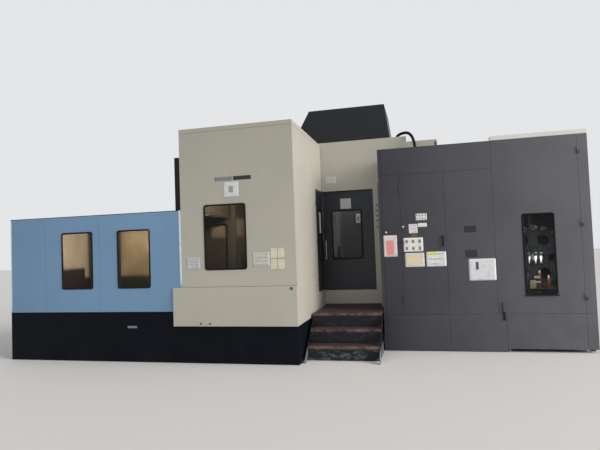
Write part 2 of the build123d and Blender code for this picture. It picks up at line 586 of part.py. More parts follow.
cab_post_xs = [X_CAB + PANEL, x_mag - CAB_POST / 2, X_RIGHT - PANEL - CAB_POST]
cab_post_ys = [Y_CAB + PANEL, Y_BAY - SEAM - PANEL - CAB_POST]
cab_frame = []
for x in cab_post_xs:
    for y in cab_post_ys:
        cab_frame.append(square_tube(x, x + CAB_POST, y, y + CAB_POST, PAD_H, cab_top, CAB_WALL))
for y in cab_post_ys:
    for z in (cab_top - CAB_POST, PLINTH_Z - CAB_POST):
        for x0, x1 in zip(cab_post_xs, cab_post_xs[1:]):
            cab_frame.append(square_tube(x0 + CAB_POST, x1, y, y + CAB_POST, z, z + CAB_POST, CAB_WALL))
for x in cab_post_xs:
    for z in (cab_top - CAB_POST, PLINTH_Z - CAB_POST):
        cab_frame.append(square_tube(x, x + CAB_POST, cab_post_ys[0] + CAB_POST, cab_post_ys[1], z,
                                     z + CAB_POST, CAB_WALL))
for x in (x_door - CAB_POST - SEAM, x_fixed):
    cab_frame.append(square_tube(x, x + CAB_POST, cab_post_ys[0], cab_post_ys[0] + CAB_POST, PLINTH_Z,
                                 cab_top - CAB_POST, CAB_WALL))
add("enclosure_frame", *cab_frame)

FOOT_R = 30
FOOT_T = 14
FOOT_STEM_R = 12
FOOT_X = 140
FOOT_Y = 90
feet = []
for x in (x_mag + FOOT_X, X_RIGHT - FOOT_X):
    y = Y_CAB + FOOT_Y
    feet.append(rod((x, y, 0), (0, 0, 1), FOOT_R, FOOT_T)
                + rod((x, y, FOOT_T), (0, 0, 1), FOOT_STEM_R, PLINTH_Z - CAB_POST - FOOT_T))
add("levelling_pads", *feet)

# Hinged cabinet door with a swing handle, and the magazine door with its window
add("cabinet_door", cab_tray(x_door, x_fixed, PLINTH_Z, FASCIA_Z))
door_axis_x = x_door - SEAM / 2
fixed, moving = hinge_set(lambda z: Pos(door_axis_x, Y_CAB - HINGE_STAND, z), PLINTH_Z, FASCIA_Z)
add("fixed_hinge_halves", *fixed)
add("cabinet_door", *moving)
LEVER_L = 170
LEVER_W = 28
LEVER_T = 12
LEVER_HUB_R = 16
LEVER_STAND = 20
LEVER_GAP = 0.3
LEVER_EDGE = 55
LEVER_Z = 1770
lever_x = x_fixed - LEVER_EDGE
hub = rod((lever_x, Y_CAB - LEVER_GAP, LEVER_Z), (0, -1, 0), LEVER_HUB_R, LEVER_STAND)
lever = extrude(front(Y_CAB - LEVER_GAP - LEVER_STAND) * (Pos(lever_x, LEVER_Z - LEVER_L / 2 + LEVER_W / 2)
                                                          * SlotOverall(LEVER_L, LEVER_W, rotation=90)),
                LEVER_T)
add("cabinet_door_lever", hub + lever)

MAG_WINDOW_X0 = 400
MAG_WINDOW_X1 = 830
MAG_WINDOW_Z0 = 870
MAG_WINDOW_Z1 = 2055
mag_hole = soft_rect(x_mag + MAG_WINDOW_X0, x_mag + MAG_WINDOW_X1, MAG_WINDOW_Z0, MAG_WINDOW_Z1, CORNER_R)
add("magazine_door", cab_tray(x_mag, x_end, PLINTH_Z, CABINET_H, cutouts=[mag_hole]))
add("magazine_door_gasket", gasket(cab_front, mag_hole))
add("magazine_door_glass", pane(cab_front, mag_hole))
mag_axis_x = x_end - SEAM / 2
fixed, moving = hinge_set(lambda z: Pos(mag_axis_x, Y_CAB - HINGE_STAND, z), PLINTH_Z, CABINET_H)
add("fixed_hinge_halves", *[mirror(half, Plane.YZ.offset(mag_axis_x)) for half in fixed])
add("magazine_door", *[mirror(half, Plane.YZ.offset(mag_axis_x)) for half in moving])
PULL_X = 62
PULL_W = 26
PULL_T = 24
PULL_Z = 30
PULL_H = 140
add("magazine_door", block(x_mag + PULL_X, x_mag + PULL_X + PULL_W, Y_CAB - PULL_T, Y_CAB,
                           PLINTH_Z + PULL_Z, PLINTH_Z + PULL_Z + PULL_H))

# Operator console on the cabinet's left side, facing the bay
CONSOLE_T = 24
CONSOLE_Y0 = 60
CONSOLE_D = 620
CONSOLE_Z0 = 690
CONSOLE_Z1 = 2680
console_y0 = Y_CAB + CONSOLE_Y0
console_y1 = console_y0 + CONSOLE_D
x_console = X_CAB - CONSOLE_T
SCREEN_Z0 = 1700
SCREEN_Z1 = 2100
SCREEN_EDGE = 90
SCREEN_T = 6
console = tray(right(x_console), rect(console_y0, console_y1, CONSOLE_Z0, CONSOLE_Z1), CONSOLE_T, inward=1)
screen_rect = rect(console_y0 + SCREEN_EDGE, console_y1 - SCREEN_EDGE, SCREEN_Z0, SCREEN_Z1)
console -= extrude(right(x_console) * screen_rect, SHEET)

BUTTON_Z = 1240
BUTTON_R = 11
BUTTON_BEZEL_R = 16
BUTTON_BEZEL_T = 4
BUTTON_CAP_T = 10
BUTTON_STEM_R = 6
BUTTON_STEM_L = 14
BUTTON_TRAVEL = 4
BUTTON_FIT = 0.5
BUTTON_Y = 170
BUTTON_PITCH = 90
button_names = ["cycle_start", "feed_hold"]
button_ys = [console_y0 + BUTTON_Y + BUTTON_PITCH * i for i in range(len(button_names))]
ESTOP_R = 20
ESTOP_Y = 110
estop_y = console_y1 - ESTOP_Y
KNOB_Y = 200
KNOB_Z = 1380
KNOB_R = 19
KNOB_T = 18
KNOB_FLUTES = 12
KNOB_FLUTE_R = 2
knob_y = console_y0 + KNOB_Y


def console_rod(y, z, radius, x0, x1):
    """Round piece along X between two distances in front of the console's face."""
    return rod((x_console - x0, y, z), (-1, 0, 0), radius, x1 - x0)


controls = [(y, BUTTON_Z) for y in button_ys + [estop_y]] + [(knob_y, KNOB_Z)]
for y, z in controls:
    console -= console_rod(y, z, BUTTON_STEM_R + BUTTON_FIT, -SHEET, 0)
add("console_housing", console)
add("console_screen", extrude(right(x_console) * screen_rect, SCREEN_T))
add("console_fittings", *[
    console_rod(y, BUTTON_Z, BUTTON_BEZEL_R, 0, BUTTON_BEZEL_T)
    - console_rod(y, BUTTON_Z, BUTTON_STEM_R + BUTTON_FIT, 0, BUTTON_BEZEL_T)
    for y in button_ys + [estop_y]])
KEYPAD_T = 4
KEYPAD_EDGE = 100
KEYPAD_Z = 1450
KEYPAD_H = 220
add("console_fittings", block(x_console - KEYPAD_T, x_console, console_y0 + KEYPAD_EDGE,
                              console_y1 - KEYPAD_EDGE, KEYPAD_Z, KEYPAD_Z + KEYPAD_H))


def button(y, radius, cap_t):
    """Push button: a cap on a stem through its bezel, with its travel left under the cap."""
    rest = BUTTON_BEZEL_T + BUTTON_TRAVEL + BUTTON_FIT
    stem = console_rod(y, BUTTON_Z, BUTTON_STEM_R, -BUTTON_STEM_L, rest)
    cap = console_rod(y, BUTTON_Z, radius, rest, rest + cap_t)
    return stem + fillet(cap.edges().filter_by(GeomType.CIRCLE).sort_by(Axis.X)[0], cap_t / 4)


for name, y in zip(button_names, button_ys):
    add(f"button_{name}", button(y, BUTTON_R, BUTTON_CAP_T))
add("emergency_stop", button(estop_y, ESTOP_R, BUTTON_CAP_T * 1.5))
knob = console_rod(knob_y, KNOB_Z, KNOB_R, BUTTON_FIT, KNOB_T)
knob += console_rod(knob_y, KNOB_Z, BUTTON_STEM_R, -BUTTON_STEM_L, BUTTON_FIT)
for turn in range(KNOB_FLUTES):
    angle = 2 * pi * turn / KNOB_FLUTES
    knob -= console_rod(knob_y + KNOB_R * cos(angle), KNOB_Z + KNOB_R * sin(angle), KNOB_FLUTE_R, BUTTON_FIT,
                        KNOB_T)
add("knob_feed_override", knob)

# Inside the electrical part: mounting plate, drives, contactor rails and wiring ducts
PLATE_T = 5
PLATE_FOOT = 100
PLATE_DROP = 260
plate_y = Y_BAY - SEAM - PANEL - CAB_POST - PLATE_T
plate_z0 = PLINTH_Z + PLATE_FOOT
plate_z1 = CABINET_H - PLATE_DROP
add("control_gear", block(cab_post_xs[0] + CAB_POST / 2, cab_post_xs[1] + CAB_POST / 2, plate_y,
                          plate_y + PLATE_T, plate_z0, plate_z1))


def plate_height(share):
    """Height at a share of the mounting plate."""
    return plate_z0 + share * (plate_z1 - plate_z0)


DRIVE_WIDTHS = (110, 110, 90, 90, 60, 60, 150)
DRIVE_X = 220
DRIVE_PITCH = 170
DRIVE_D = 280
DRIVE_H = 410
DRIVE_AT = 0.65
VENT_COUNT = 4
VENT_EDGE = 10
VENT_D = 8
VENT_H = 12
VENT_PITCH = 40
drive_z = plate_height(DRIVE_AT)
drives = []
for i, width in enumerate(DRIVE_WIDTHS):
    x = x_strip + DRIVE_X + i * DRIVE_PITCH
    body = block(x, x + width, plate_y - DRIVE_D, plate_y, drive_z, drive_z + DRIVE_H)
    for vent in range(VENT_COUNT):
        z = drive_z + VENT_PITCH * (vent + 1)
        body -= block(x + VENT_EDGE, x + width - VENT_EDGE, plate_y - DRIVE_D, plate_y - DRIVE_D + VENT_D, z,
                      z + VENT_H)
    drives.append(body)
add("drive_modules", *drives)
DUCT_X = 150
DUCT_D = 70
DUCT_H = 60
DUCT_AT = (0.1, 0.3, 0.56, 0.9)
add("control_gear", *[
    block(x_strip + DUCT_X, x_mag - DUCT_X, plate_y - DUCT_D, plate_y, plate_height(share),
          plate_height(share) + DUCT_H) for share in DUCT_AT])
DIN_X = 200
DIN_D = 8
DIN_H = 35
DIN_AT = (0.2, 0.43)
DEVICE_COUNT = 12
DEVICE_X = 240
DEVICE_PITCH = 95
DEVICE_W = 72
DEVICE_D = 80
DEVICE_DROP = 25
DEVICE_H = 85
for share in DIN_AT:
    z = plate_height(share)
    add("control_gear", block(x_strip + DIN_X, x_mag - DIN_X, plate_y - DIN_D, plate_y, z, z + DIN_H))
    for i in range(DEVICE_COUNT):
        x = x_strip + DEVICE_X + i * DEVICE_PITCH
        add("control_gear", block(x, x + DEVICE_W, plate_y - DIN_D - DEVICE_D, plate_y - DIN_D,
                                  z - DEVICE_DROP, z - DEVICE_DROP + DEVICE_H))

# Ribbed black hose from the housing's roof over its front edge to the cabinet's roof
HOSE_R = 26
HOSE_X = 1380
HOSE_RUN = 350
HOSE_Y = 420
HOSE_REACH = 190
HOSE_RISE = 140
HOSE_DIP = 110
HOSE_BEND = 105
GLAND_T = 12
GLAND_RIM = 10
hose_x0 = X_BAY + HOSE_X
hose_x1 = hose_x0 + HOSE_RUN
hose_y0 = Y_BAY + HOSE_Y
hose_y1 = Y_BAY - HOSE_REACH
hose_start = (hose_x0, hose_y0, HOUSE_H + GLAND_T)
hose_path = FilletPolyline(hose_start, (hose_x0, hose_y0, HOUSE_H + HOSE_RISE),
                           (hose_x1, hose_y1, HOUSE_H + HOSE_RISE - HOSE_DIP),
                           (hose_x1, hose_y1, CABINET_H + GLAND_T), radius=HOSE_BEND)
add("roof_hose", sweep(Plane(origin=hose_start, z_dir=(0, 0, 1)) * Circle(HOSE_R), path=hose_path))
add("roof_hose_glands", rod((hose_x0, hose_y0, HOUSE_H), (0, 0, 1), HOSE_R + GLAND_RIM, GLAND_T),
    rod((hose_x1, hose_y1, CABINET_H), (0, 0, 1), HOSE_R + GLAND_RIM, GLAND_T))

# Machine bed: a casting along X for the table and a cross casting for the column
AXIS_Y = 950
TABLE_X = -780
BED_Z0 = 60
BED_H = 700
BED_X0 = -1640
BED_X1 = 60
BED_D = 900
BED_CHAMFER = 30
CROSS_X0 = BED_X1
CROSS_X1 = 1260
CROSS_Y0 = 170
CROSS_Y1 = 1780
CROSS_H = 760
GULLY_W = 240
GULLY_D = 120
y_axis = Y_BAY + AXIS_Y
bed = block(X_BAY + BED_X0, X_BAY + BED_X1, y_axis - BED_D / 2, y_axis + BED_D / 2, BED_Z0, BED_H)
bed += block(X_BAY + CROSS_X0, X_BAY + CROSS_X1, Y_BAY + CROSS_Y0, Y_BAY + CROSS_Y1, BED_Z0, CROSS_H)
bed = chamfer(bed.edges().filter_by(Axis.X).group_by(Axis.Z)[-2], BED_CHAMFER)
bed -= block(X_BAY + BED_X0, X_BAY + BED_X1, y_axis - GULLY_W / 2, y_axis + GULLY_W / 2, BED_H - GULLY_D,
             BED_H)
add("main_bed", bed)
BED_PAD_R = 70
BED_PAD_T = 24
BED_PAD_STEM_R = 24
BED_PAD_EDGE = 120
for x0, x1, count in ((BED_X0, BED_X1, 3), (CROSS_X0 + BED_D / 2, CROSS_X1, 2)):
    for i in range(count):
        x = X_BAY + x0 + BED_PAD_EDGE + i * (x1 - x0 - 2 * BED_PAD_EDGE) / (count - 1)
        for y in (y_axis - BED_D / 2 + BED_PAD_EDGE, y_axis + BED_D / 2 - BED_PAD_EDGE):
            add("levelling_pads", rod((x, y, 0), (0, 0, 1), BED_PAD_R, BED_PAD_T)
                + rod((x, y, BED_PAD_T), (0, 0, 1), BED_PAD_STEM_R, BED_Z0 - BED_PAD_T))

frame_feet = [block(x, x + POST, y, y + POST, 0, PAD_H)
              for x, y in guard_places + tower_places + house_places]
cab_places = [(x, y) for x in cab_post_xs for y in cab_post_ys]
cab_places.remove((cab_post_xs[2], cab_post_ys[0]))
frame_feet += [block(x, x + CAB_POST, y, y + CAB_POST, 0, PAD_H) for x, y in cab_places]
add("levelling_pads", *frame_feet)

RAIL_W = 45
RAIL_H = 50
RAIL_OFF = 300
RAIL_END = 20
COLUMN_RAIL_X0 = 260
COLUMN_RAIL_X1 = 160


def rail_along_x(x0, x1, y, z):
    """Ground rail along X."""
    return block(x0, x1, y - RAIL_W / 2, y + RAIL_W / 2, z, z + RAIL_H)


column_rail_xs = (X_BAY + CROSS_X0 + COLUMN_RAIL_X0, X_BAY + CROSS_X1 - COLUMN_RAIL_X1)
add("linear_rails", *[
    rail_along_x(X_BAY + BED_X0 + RAIL_END, X_BAY + BED_X1 - RAIL_END, y_axis + side * RAIL_OFF, BED_H)
    for side in (-1, 1)])
add("linear_rails", *[
    block(x - RAIL_W / 2, x + RAIL_W / 2, Y_BAY + CROSS_Y0 + RAIL_END, Y_BAY + CROSS_Y1 - RAIL_END, CROSS_H,
          CROSS_H + RAIL_H) for x in column_rail_xs])

# Table: a saddle on the rails, a turning pallet with slots, and a fixture block on it
GUIDE_GAP = 0.3
SADDLE_L = 900
SADDLE_H = 150
PALLET_W = 1000
PALLET_H = 120
PALLET_CLIP = 60
TURN_H = 90
TURN_R = 420
SLOT_COUNT = 5
SLOT_W = 22
SLOT_D = 30
SLOT_PITCH = 200
FIXTURE_W = 420
FIXTURE_H = 700
FIXTURE_FLANGE = 80
FIXTURE_FLANGE_T = 50
HOLE_R = 9
HOLE_D = 30
HOLE_PITCH = 120
HOLE_ROWS = 4


def guide_slot(x0, x1, y, z):
    """Room for a rail along X under a carriage."""
    return block(x0, x1, y - RAIL_W / 2 - GUIDE_GAP, y + RAIL_W / 2 + GUIDE_GAP, z,
                 z + RAIL_H)


def pallet(x, y, z):
    """Square pallet with clipped corners and slots across its top."""
    plate = block(x - PALLET_W / 2, x + PALLET_W / 2, y - PALLET_W / 2, y + PALLET_W / 2, z, z + PALLET_H)
    plate = chamfer(plate.edges().filter_by(Axis.Z), PALLET_CLIP)
    for i in range(SLOT_COUNT):
        y_slot = y + (i - (SLOT_COUNT - 1) / 2) * SLOT_PITCH
        plate -= block(x - PALLET_W / 2, x + PALLET_W / 2, y_slot - SLOT_W / 2, y_slot + SLOT_W / 2,
                       z + PALLET_H - SLOT_D, z + PALLET_H)
    return plate


def fixture(x, y, z):
    """Upright block on a flange, with location holes in the sides that face +X and -X."""
    half = FIXTURE_W / 2
    rim = half + FIXTURE_FLANGE
    stand = block(x - rim, x + rim, y - rim, y + rim, z, z + FIXTURE_FLANGE_T)
    stand += block(x - half, x + half, y - half, y + half, z + FIXTURE_FLANGE_T, z + FIXTURE_H)
    for row in range(HOLE_ROWS):
        for col in (-1, 0, 1):
            z_hole = z + FIXTURE_FLANGE_T + HOLE_PITCH * (row + 1)
            for side in (-1, 1):
                stand -= rod((x + side * half, y + col * HOLE_PITCH, z_hole), (-side, 0, 0), HOLE_R, HOLE_D)
    return stand


x_table = X_BAY + TABLE_X
saddle_z0 = BED_H + GUIDE_GAP
saddle = block(x_table - SADDLE_L / 2, x_table + SADDLE_L / 2, y_axis - BED_D / 2, y_axis + BED_D / 2,
               saddle_z0, BED_H + RAIL_H + SADDLE_H)
for side in (-1, 1):
    saddle -= guide_slot(x_table - SADDLE_L / 2, x_table + SADDLE_L / 2, y_axis + side * RAIL_OFF, saddle_z0)
add("table_saddle", saddle)
turn_z = BED_H + RAIL_H + SADDLE_H + GUIDE_GAP
pallet_z = turn_z + TURN_H
add("rotary_table", rod((x_table, y_axis, turn_z), (0, 0, 1), TURN_R, TURN_H),
    pallet(x_table, y_axis, pallet_z), fixture(x_table, y_axis, pallet_z + PALLET_H))

# Column on the cross bed, with its spindle head on upright rails facing the table
COLUMN_X0 = 260
COLUMN_X1 = 1160
COLUMN_D = 700
COLUMN_DROP = 380
COLUMN_NECK = 140
COLUMN_FOOT_H = 500
COLUMN_SLOPE_H = 400
column_z0 = CROSS_H + GUIDE_GAP
column_top = HOOD_H - COLUMN_DROP
neck_z = column_z0 + COLUMN_FOOT_H
cx0, cx1 = X_BAY + COLUMN_X0, X_BAY + COLUMN_X1
nx1 = cx1 - COLUMN_NECK
column_shape = Polyline((cx0, column_z0), (cx1, column_z0), (cx1, neck_z), (nx1, neck_z + COLUMN_SLOPE_H),
                        (nx1, column_top), (cx0, column_top), close=True)
column = extrude(front(y_axis - COLUMN_D / 2) * make_face(column_shape), -COLUMN_D)
for x in column_rail_xs:
    column -= block(x - RAIL_W / 2 - GUIDE_GAP, x + RAIL_W / 2 + GUIDE_GAP, y_axis - COLUMN_D / 2,
                    y_axis + COLUMN_D / 2, column_z0, column_z0 + RAIL_H)
HEAD_RAIL_OFF = 260
HEAD_RAIL_T = 40
HEAD_RAIL_Z0 = 1100
HEAD_RAIL_DROP = 60
add("machine_column", column, *[
    block(cx0 - HEAD_RAIL_T, cx0, y_axis + side * HEAD_RAIL_OFF - RAIL_W / 2,
          y_axis + side * HEAD_RAIL_OFF + RAIL_W / 2, HEAD_RAIL_Z0, column_top - HEAD_RAIL_DROP)
    for side in (-1, 1)])
HEAD_X0 = 30
HEAD_W = 700
HEAD_H = 760
HEAD_Z = 2050
HEAD_CHAMFER = 60
COLLAR_R = 200
COLLAR_L = 90
SPINDLE_R = 110
SPINDLE_L = 260
SPINDLE_PROUD = 40
SPINDLE_BORE_L = 240
SPINDLE_BORE_FIT = 0.05
TAPER_R0 = 35
TAPER_R1 = 22
TAPER_L = 100
hx0, hx1 = X_BAY + HEAD_X0, cx0 - GUIDE_GAP
collar_x = hx0 - COLLAR_L
head_z0, head_z1 = HEAD_Z - HEAD_H / 2, HEAD_Z + HEAD_H / 2
head = block(hx0, hx1, y_axis - HEAD_W / 2, y_axis + HEAD_W / 2, head_z0, head_z1)
head = chamfer(head.edges().filter_by(Axis.Z).group_by(Axis.X)[0], HEAD_CHAMFER)
for side in (-1, 1):
    y = y_axis + side * HEAD_RAIL_OFF
    head -= block(cx0 - HEAD_RAIL_T - GUIDE_GAP, hx1, y - RAIL_W / 2 - GUIDE_GAP, y + RAIL_W / 2 + GUIDE_GAP,
                  head_z0, head_z1)
head += rod((hx0, y_axis, HEAD_Z), (-1, 0, 0), COLLAR_R, COLLAR_L)
head -= rod((collar_x, y_axis, HEAD_Z), (1, 0, 0), SPINDLE_R + SPINDLE_BORE_FIT, SPINDLE_BORE_L)
add("spindle_head", head)
nose_x = collar_x - SPINDLE_PROUD
spindle = rod((nose_x, y_axis, HEAD_Z), (1, 0, 0), SPINDLE_R, SPINDLE_L)
taper = Cone(TAPER_R0, TAPER_R1, TAPER_L, align=(Align.CENTER, Align.CENTER, Align.MIN))
spindle -= Pos(nose_x, y_axis, HEAD_Z) * Rot(0, 90, 0) * taper
add("spindle", spindle)

# Pallet transfer: a long bed with rails through the guard, and a cart with a spare pallet
TRANSFER_Y = 1080
TRANSFER_H = 620
TRANSFER_GAP = 60
TRANSFER_RAIL_OFF = 250
BEAM_W = 140
TIE_W = 120
TIE_Z0 = 120
TIE_Z1 = 300
BRIDGE_W = 400
BRIDGE_Z1 = 480
transfer_x0 = X_LEFT + PANEL + POST + TRANSFER_GAP
transfer_x1 = X_BAY - PANEL - POST - TRANSFER_GAP
y_transfer = Y_FRONT + TRANSFER_Y
beam_in = TRANSFER_RAIL_OFF - BEAM_W / 2
beam_out = TRANSFER_RAIL_OFF + BEAM_W / 2
transfer_ys = (y_transfer - TRANSFER_RAIL_OFF, y_transfer + TRANSFER_RAIL_OFF)
beds = [block(transfer_x0, transfer_x1, y - BEAM_W / 2, y + BEAM_W / 2, 0, TRANSFER_H) for y in transfer_ys]
ties = [block(x, x + TIE_W, y_transfer - beam_in, y_transfer + beam_in, TIE_Z0, TIE_Z1)
        for x in (transfer_x0, (transfer_x0 + transfer_x1) / 2, transfer_x1 - TIE_W)]
bridge = block(x_table - BRIDGE_W / 2, x_table + BRIDGE_W / 2, y_transfer + beam_out, y_axis - BED_D / 2,
               TIE_Z0, BRIDGE_Z1)
add("transfer_bed", *beds, *ties, bridge)
add("linear_rails", *[rail_along_x(transfer_x0, transfer_x1, y, TRANSFER_H) for y in transfer_ys])
CART_L = 1000
CART_D = 760
CART_H = 140
CART_X = 850
cart_x = X_TOWER + CART_X
cart_z0 = TRANSFER_H + GUIDE_GAP
cart_z1 = TRANSFER_H + RAIL_H + CART_H
cart_x0, cart_x1 = cart_x - CART_L / 2, cart_x + CART_L / 2
cart = block(cart_x0, cart_x1, y_transfer - CART_D / 2, y_transfer + CART_D / 2, cart_z0, cart_z1)
for y in transfer_ys:
    cart -= guide_slot(cart_x0, cart_x1, y, cart_z0)
add("transfer_cart", cart, pallet(cart_x, y_transfer, cart_z1),
    fixture(cart_x, y_transfer, cart_z1 + PALLET_H))

# Tool magazine behind the right window: a toothed disc with pots round its rim
MAG_X = 2340
MAG_Y = 520
MAG_Z = 1400
MAG_R = 520
MAG_T = 40
POT_COUNT = 20
POT_EDGE = 12
POT_R = 46
POT_L = 50
WINDOW_RING = 0.58
WINDOW_R = 0.17
WINDOW_COUNT = 6
MAG_HUB_R = 90
MAG_AXLE_R = 40
MAG_FIT = 0.05
x_mag_axis = X_CAB + MAG_X
y_mag_disc = Y_CAB + MAG_Y
pot_ring_r = MAG_R - POT_R - POT_EDGE
disc_plane = Plane(origin=(x_mag_axis, y_mag_disc, MAG_Z), x_dir=(1, 0, 0), z_dir=(0, -1, 0))
wheel = extrude(disc_plane * Circle(MAG_R), MAG_T)
for spot in PolarLocations(MAG_R * WINDOW_RING, WINDOW_COUNT):
    wheel -= extrude(disc_plane * spot * Circle(MAG_R * WINDOW_R), MAG_T)
wheel += extrude(disc_plane * Circle(MAG_HUB_R), MAG_T * 2)
for spot in PolarLocations(pot_ring_r, POT_COUNT):
    wheel += extrude(disc_plane.offset(MAG_T) * spot * Circle(POT_R), POT_L)
wheel -= extrude(disc_plane * Circle(MAG_AXLE_R + MAG_FIT), MAG_T * 2)
add("magazine_wheel", wheel)
FLANGE_T = 30
COLLET_L = 60
COLLET_IN = 18
FLANGE_IN = 6
TOOL_L0 = 90
TOOL_L_STEP = 45
TOOL_R0 = 14
TOOL_R_STEP = 6
for i in range(POT_COUNT):
    angle = 2 * pi * i / POT_COUNT
    x = x_mag_axis + pot_ring_r * cos(angle)
    z = MAG_Z + pot_ring_r * sin(angle)
    y = y_mag_disc - MAG_T - POT_L
    flange = rod((x, y, z), (0, -1, 0), POT_R - FLANGE_IN, FLANGE_T)
    collet = rod((x, y - FLANGE_T, z), (0, -1, 0), POT_R - COLLET_IN, COLLET_L)
    tool = rod((x, y - FLANGE_T - COLLET_L, z), (0, -1, 0), TOOL_R0 + TOOL_R_STEP * (i % 3),
               TOOL_L0 + TOOL_L_STEP * (i % 4))
    add("tool_holders", flange + collet + tool)
STAND_W = 200
STAND_T = 120
STAND_FOOT_X = 420
STAND_FOOT_Y0 = 180
STAND_FOOT_Y1 = 80
STAND_FOOT_T = 40
AXLE_CAP_RIM = 20
AXLE_CAP_T = 12
STAND_GAP = 3
y_stand = y_mag_disc + STAND_GAP
stand = block(x_mag_axis - STAND_W / 2, x_mag_axis + STAND_W / 2, y_stand, y_stand + STAND_T, 0,
              MAG_Z + STAND_W / 2)
stand += block(x_mag_axis - STAND_FOOT_X, x_mag_axis + STAND_FOOT_X, y_stand - STAND_FOOT_Y0,
               y_stand + STAND_T + STAND_FOOT_Y1, 0, STAND_FOOT_T)
stand += block(x_mag_axis - STAND_W / 4, x_mag_axis + STAND_W / 4, y_stand + STAND_T, cab_post_ys[1],
               PLINTH_Z - CAB_POST, PLINTH_Z)
axle_l = y_stand - y_mag_disc + MAG_T * 2 + GUIDE_GAP
stand += rod((x_mag_axis, y_stand, MAG_Z), (0, -1, 0), MAG_AXLE_R, axle_l)
stand += rod((x_mag_axis, y_stand - axle_l, MAG_Z), (0, -1, 0), MAG_AXLE_R + AXLE_CAP_RIM, AXLE_CAP_T)
add("magazine_stand", stand)

for name, solids in nodes.items():
    shape = solids[0] if len(solids) == 1 else Compound(children=list(solids))
    export_step(shape, f"parts/{name}.step")
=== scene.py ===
"""Looks of the large enclosed CNC machining centre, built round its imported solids, in metres."""
import math

import bpy
import numpy as np
from mathutils import Matrix, Vector


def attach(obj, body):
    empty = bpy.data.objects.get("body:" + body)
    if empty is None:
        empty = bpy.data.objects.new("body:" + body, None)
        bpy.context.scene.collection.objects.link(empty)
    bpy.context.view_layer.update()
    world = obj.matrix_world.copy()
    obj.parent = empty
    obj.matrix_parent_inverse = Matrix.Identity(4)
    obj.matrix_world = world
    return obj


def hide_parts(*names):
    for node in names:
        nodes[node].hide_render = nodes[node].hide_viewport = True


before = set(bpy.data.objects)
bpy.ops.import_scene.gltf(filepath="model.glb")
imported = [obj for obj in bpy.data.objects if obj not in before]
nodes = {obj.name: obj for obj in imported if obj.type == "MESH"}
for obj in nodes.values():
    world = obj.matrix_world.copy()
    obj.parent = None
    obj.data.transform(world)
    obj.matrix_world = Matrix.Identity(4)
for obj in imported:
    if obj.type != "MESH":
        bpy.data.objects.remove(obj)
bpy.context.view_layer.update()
scene = bpy.context.scene
scene.view_settings.view_transform = "Standard"

# The camera stands where the photographer stood, a little right of the machine's middle.
# Its place, turn and focal length were fitted to the corners of the machine.
EYE = Vector((2.1715, -9.1582, 1.6939))
YAW, PITCH, ROLL = (math.radians(a) for a in (13.7227, 2.4567, -2.1141))
FOCAL_PX = 505.94
PHOTO_W = 600
SENSOR = 36
FAR_VIEW = 200
look = Vector((-math.sin(YAW) * math.cos(PITCH), math.cos(YAW) * math.cos(PITCH), math.sin(PITCH)))
level = Vector((math.cos(YAW), math.sin(YAW), 0))
upright = level.cross(look)
cam_x = math.cos(ROLL) * level + math.sin(ROLL) * upright
cam_y = math.cos(ROLL) * upright - math.sin(ROLL) * level
camera_data = bpy.data.cameras.new("camera")
camera_data.sensor_width = SENSOR
camera_data.sensor_fit = "HORIZONTAL"
camera_data.lens = FOCAL_PX / PHOTO_W * SENSOR
camera_data.clip_end = FAR_VIEW
camera = bpy.data.objects.new("camera", camera_data)
turn = Matrix((cam_x, cam_y, -look)).transposed()
camera.matrix_world = Matrix.Translation(EYE) @ turn.to_4x4()
scene.collection.objects.link(camera)
scene.camera = camera

# The roof hose: a ribbed black air hose from the housing's roof over its front edge down to the
# cabinet's roof. It is blown in one piece with fine rings, and each end is held by a gland.
HOSE_ROUTE = ((1.745, 0.445, 3.612), (1.745, 0.445, 3.740), (2.095, -0.165, 3.630), (2.095, -0.165, 3.222))
HOSE_R, HOSE_RIB, HOSE_PITCH = 0.0245, 0.0015, 0.014
route = bpy.data.curves.new("hose_route", "CURVE")
route.dimensions = "3D"
route.resolution_u = 40
run = route.splines.new("NURBS")
run.points.add(len(HOSE_ROUTE) - 1)
for point, spot in zip(run.points, HOSE_ROUTE):
    point.co = (*spot, 1)
run.order_u = 3
run.use_endpoint_u = True
route_object = bpy.data.objects.new("hose_route", route)
route_mesh = bpy.data.meshes.new_from_object(route_object)
hose_line = np.array([list(vertex.co) for vertex in route_mesh.vertices])
bpy.data.objects.remove(route_object)


def skinned(name, *grids, ring=False, smooth=True):
    """Closed mesh on grids of points: columns run round the section, rows run along the shape.

    The rows close on themselves in a ring, or end in flat caps. The winding is reversed where the
    signed volume, the sum of p0 . (p1 x p2) / 6 over its triangles, comes out negative.
    """
    verts, faces = [], []
    for points in grids:
        rows, columns = points.shape[:2]
        here = np.arange(rows * columns).reshape(rows, columns)
        ahead = np.roll(here, -1, axis=0)
        if not ring:
            here, ahead = here[:-1], ahead[:-1]
        quads = np.stack((here, np.roll(here, -1, 1), np.roll(ahead, -1, 1), ahead), -1).reshape(-1, 4)
        flat = points.reshape(-1, 3)
        corners = (flat - flat.mean(0))[quads]
        volume = np.einsum("ij,ij->", corners[:, 0], np.cross(corners[:, 1], corners[:, 2])
                           + np.cross(corners[:, 2], corners[:, 3]))
        closed = quads.tolist() if ring else quads.tolist() + [here[0][::-1].tolist(), ahead[-1].tolist()]
        faces += [[k + len(verts) for k in (face[::-1] if volume < 0 else face)] for face in closed]
        verts += flat.tolist()
    mesh = bpy.data.meshes.new(name)
    mesh.from_pydata(verts, [], faces)
    mesh.polygons.foreach_set("use_smooth", [smooth] * len(faces))
    piece = bpy.data.objects.new(name, mesh)
    scene.collection.objects.link(piece)
    return piece


